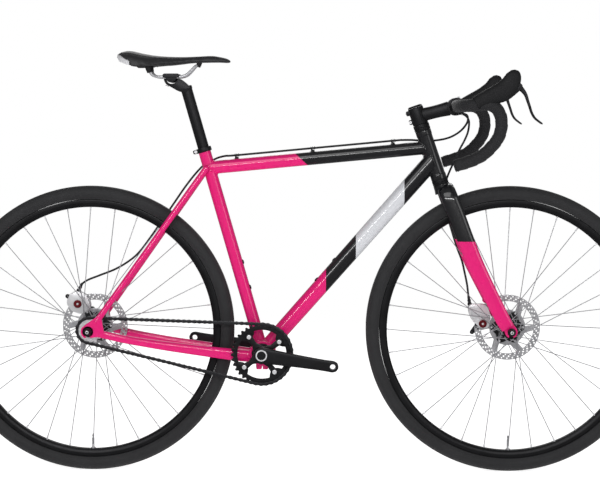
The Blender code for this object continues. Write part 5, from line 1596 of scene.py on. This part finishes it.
def swollen(made):
    """Cloth pass: the cover is blown up a little under pressure, then capped and applied."""
    bpy.context.view_layer.objects.active = made
    remesh = made.modifiers.new("remesh", "REMESH")
    remesh.mode = "VOXEL"
    remesh.voxel_size = 4 * MM
    bake(made, evaluated(made))
    start = np.array([v.co for v in made.data.vertices])
    cloth = made.modifiers.new("cloth", "CLOTH")
    cloth.settings.use_pressure = True
    cloth.settings.uniform_pressure_force = 4
    cloth.settings.effector_weights.gravity = 0
    cloth.settings.quality = 6
    for step in range(1, 21):
        bpy.context.scene.frame_set(step)
    result = made.evaluated_get(bpy.context.evaluated_depsgraph_get()).to_mesh()
    moved = np.array([v.co for v in result.vertices]) - start
    bpy.context.scene.frame_set(1)
    made.modifiers.clear()
    length = np.linalg.norm(moved, axis=1)
    moved *= np.minimum(1, SWELL_LIMIT * MM / np.maximum(length, 1e-9))[:, None]
    made.data.vertices.foreach_set("co", (start + moved).ravel())


def smoothed(made):
    made.modifiers.new("smooth", "SMOOTH").iterations = 6
    divide = made.modifiers.new("divide", "SUBSURF")
    divide.levels = 1
    divide.render_levels = 1
    bake(made, evaluated(made))


def make_cover():
    rows = smooth_path([(x, half, low, high) for x, half, low, high in SADDLE_STATIONS], 4)
    rows[:, 1] = np.maximum(rows[:, 1] - SWELL, 2.5)
    rows[:, 3] -= SWELL
    rows[:, 2] += SWELL * 0.5
    rings = [saddle_ring(*row) for row in rows]
    made = Shape().loft(rings).stand_in("saddle", "saddle_leather")
    swollen(made)
    smoothed(made)
    return made


def make_patch(cover):
    """Silver-grey trim sewn over the rear of the cover."""
    patch = link("saddle_rear_patch", cover.data.copy())
    bm = bmesh.new()
    bm.from_mesh(patch.data)
    outside = [f for f in bm.faces if not on_patch(f.calc_center_median() / MM, f.normal)]
    bmesh.ops.delete(bm, geom=outside, context="FACES")
    for vert in bm.verts:
        vert.co += vert.normal * 0.15 * MM
    bm.to_mesh(patch.data)
    bm.free()
    patch.data.materials.clear()
    patch.data.materials.append(Material.made["silver_patch"])
    thick = patch.modifiers.new("thick", "SOLIDIFY")
    thick.thickness = 0.9 * MM
    thick.offset = 1
    bake(patch, evaluated(patch))
    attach(patch, "seat")


def on_patch(place, normal):
    return place.x < -402 and place.z < 1011 - 0.6 * (place.x + 437) and normal.z > -0.6


def make_stitching(cover):
    """Two sewn lines along the top of the cover, laid on its surface."""
    tree = BVHTree.FromObject(cover, bpy.context.evaluated_depsgraph_get())
    stitches = Shape()
    rows = smooth_path([(x, half, low, high) for x, half, low, high in SADDLE_STATIONS[1:-2]], 2)
    for side in (-1, 1):
        line = []
        for x, half, low, high in rows:
            y = side * (half - SWELL) * 0.72
            hit = tree.ray_cast(Vector((x, y, high + 30)) * MM, Vector((0, 0, -1)))[0]
            if hit:
                line.append(np.array(hit) / MM)
        line = np.array(line)
        stitches.sweep(line, 0.45, sides=8)
        for start, end in zip(line[::2], line[1::2]):
            stitches.rod(start + UP * 0.3, start + (end - start) * 1.5 + UP * 0.3, 0.5, 0.2, 8)
    stitches.piece("saddle_stitching", "black_plastic", "seat")


def make_saddle_base():
    base = Shape()
    for side in (-1, 1):
        path = [(-359, side * 30, 965), (-361, side * 31, 972), (-364, side * 33, 985)]
        base.sweep(path, np.array([5, 6.2, 7.5]), sides=28, across=FORWARD)
    path = [(-245, 0, 979), (-243, 0, 984), (-240, 0, 994)]
    base.sweep(path, np.array([7.5, 8.5, 9.5]), np.array([5.5, 6, 7]), sides=28)
    base.piece("saddle_rail_sockets", "black_plastic", "seat")


def make_saddle():
    cover = make_cover()
    make_patch(cover)
    make_stitching(cover)
    make_saddle_base()
    make_rails()


# ---------------------------------------------------------------- studio

CAMERA_PLACE = vec(84.3, -4000, 840.5)
CAMERA_AIM = vec(0, 0, 538.6)
CAMERA_LENS = 99.5
ROOM_LIGHT = 0.17
BACKDROP_LIGHT = 1.0


def point_at(thing, place, aim):
    thing.location = place * MM
    thing.rotation_euler = Vector((aim - place) * MM).to_track_quat("-Z", "Y").to_euler()


def make_camera():
    data = bpy.data.cameras.new("camera")
    data.lens = CAMERA_LENS
    data.sensor_width = 36
    camera = link("camera", data)
    point_at(camera, CAMERA_PLACE, CAMERA_AIM)
    bpy.context.scene.camera = camera


def make_light(name, place, aim, size, power):
    data = bpy.data.lights.new(name, "AREA")
    data.shape = "RECTANGLE"
    data.size, data.size_y = size
    data.energy = power
    point_at(link(name, data), place, aim)


def make_studio():
    mesh = bpy.data.meshes.new("floor")
    mesh.from_pydata([(-9, -6, 0), (9, -6, 0), (9, 3, 0), (-9, 3, 0)], [], [(0, 1, 2, 3)])
    floor = link("floor", mesh)
    pale = Material("floor_paint", 0.85, Emission_Color=(1, 1, 1, 1), Emission_Strength=0.75)
    pale.shaded(pale.noise(3), (0.88, 0.88, 0.88), (0.92, 0.92, 0.92))
    mesh.materials.append(pale.material)
    floor.visible_glossy = False
    world = bpy.data.worlds.new("studio")
    world.use_nodes = True
    nodes, links = world.node_tree.nodes, world.node_tree.links
    background = nodes["Background"]
    background.inputs["Color"].default_value = (1, 1, 1, 1)
    seen = nodes.new("ShaderNodeLightPath").outputs["Is Camera Ray"]
    strength = nodes.new("ShaderNodeMapRange")
    links.new(seen, strength.inputs["Value"])
    strength.inputs["To Min"].default_value = ROOM_LIGHT
    strength.inputs["To Max"].default_value = BACKDROP_LIGHT
    links.new(strength.outputs[0], background.inputs["Strength"])
    bpy.context.scene.world = world
    bpy.context.scene.view_settings.view_transform = "Standard"
    middle = vec(0, 0, 500)
    make_light("key", vec(-900, -2600, 2900), middle, (2.6, 1.6), 28)
    make_light("fill", vec(2600, -2200, 1300), middle, (1.2, 1.6), 10)
    make_light("back", vec(300, 2600, 2300), middle, (3.0, 1.6), 28)
    make_light("strip", vec(-300, -3000, 1500), middle, (3.4, 0.16), 34)


# ---------------------------------------------------------------- assembly

def main():
    make_materials()
    make_camera()
    make_main_tubes()
    make_guides()
    make_head_tube()
    make_bracket()
    make_stays()
    make_dropouts()
    make_seat_clamp()
    make_bottle_bosses()
    make_fork()
    make_stem()
    make_faceplate()
    make_stem_bolts()
    make_bar()
    for side in ("left", "right"):
        make_tape(side)
        make_hood(side)
        make_lever(side)
    make_wheel("front", FRONT_AXLE, FRONT_HUB, FRONT_FLANGES, FRONT_SPOKE_PLACES, FRONT_ROTOR_Y)
    make_wheel("rear", REAR_AXLE, REAR_HUB, REAR_FLANGES, REAR_SPOKE_PLACES, REAR_ROTOR_Y)
    make_axle("front", "fork", FRONT_AXLE, FORK_TIP_OUTER, math.radians(100))
    make_axle("rear", "frame", REAR_AXLE, DROPOUT_SPAN[1], math.radians(110))
    make_brakes()
    make_housings()
    make_chainring()
    make_cranks()
    make_chain()
    make_cog()
    make_seatpost()
    make_saddle()
    make_studio()


main()
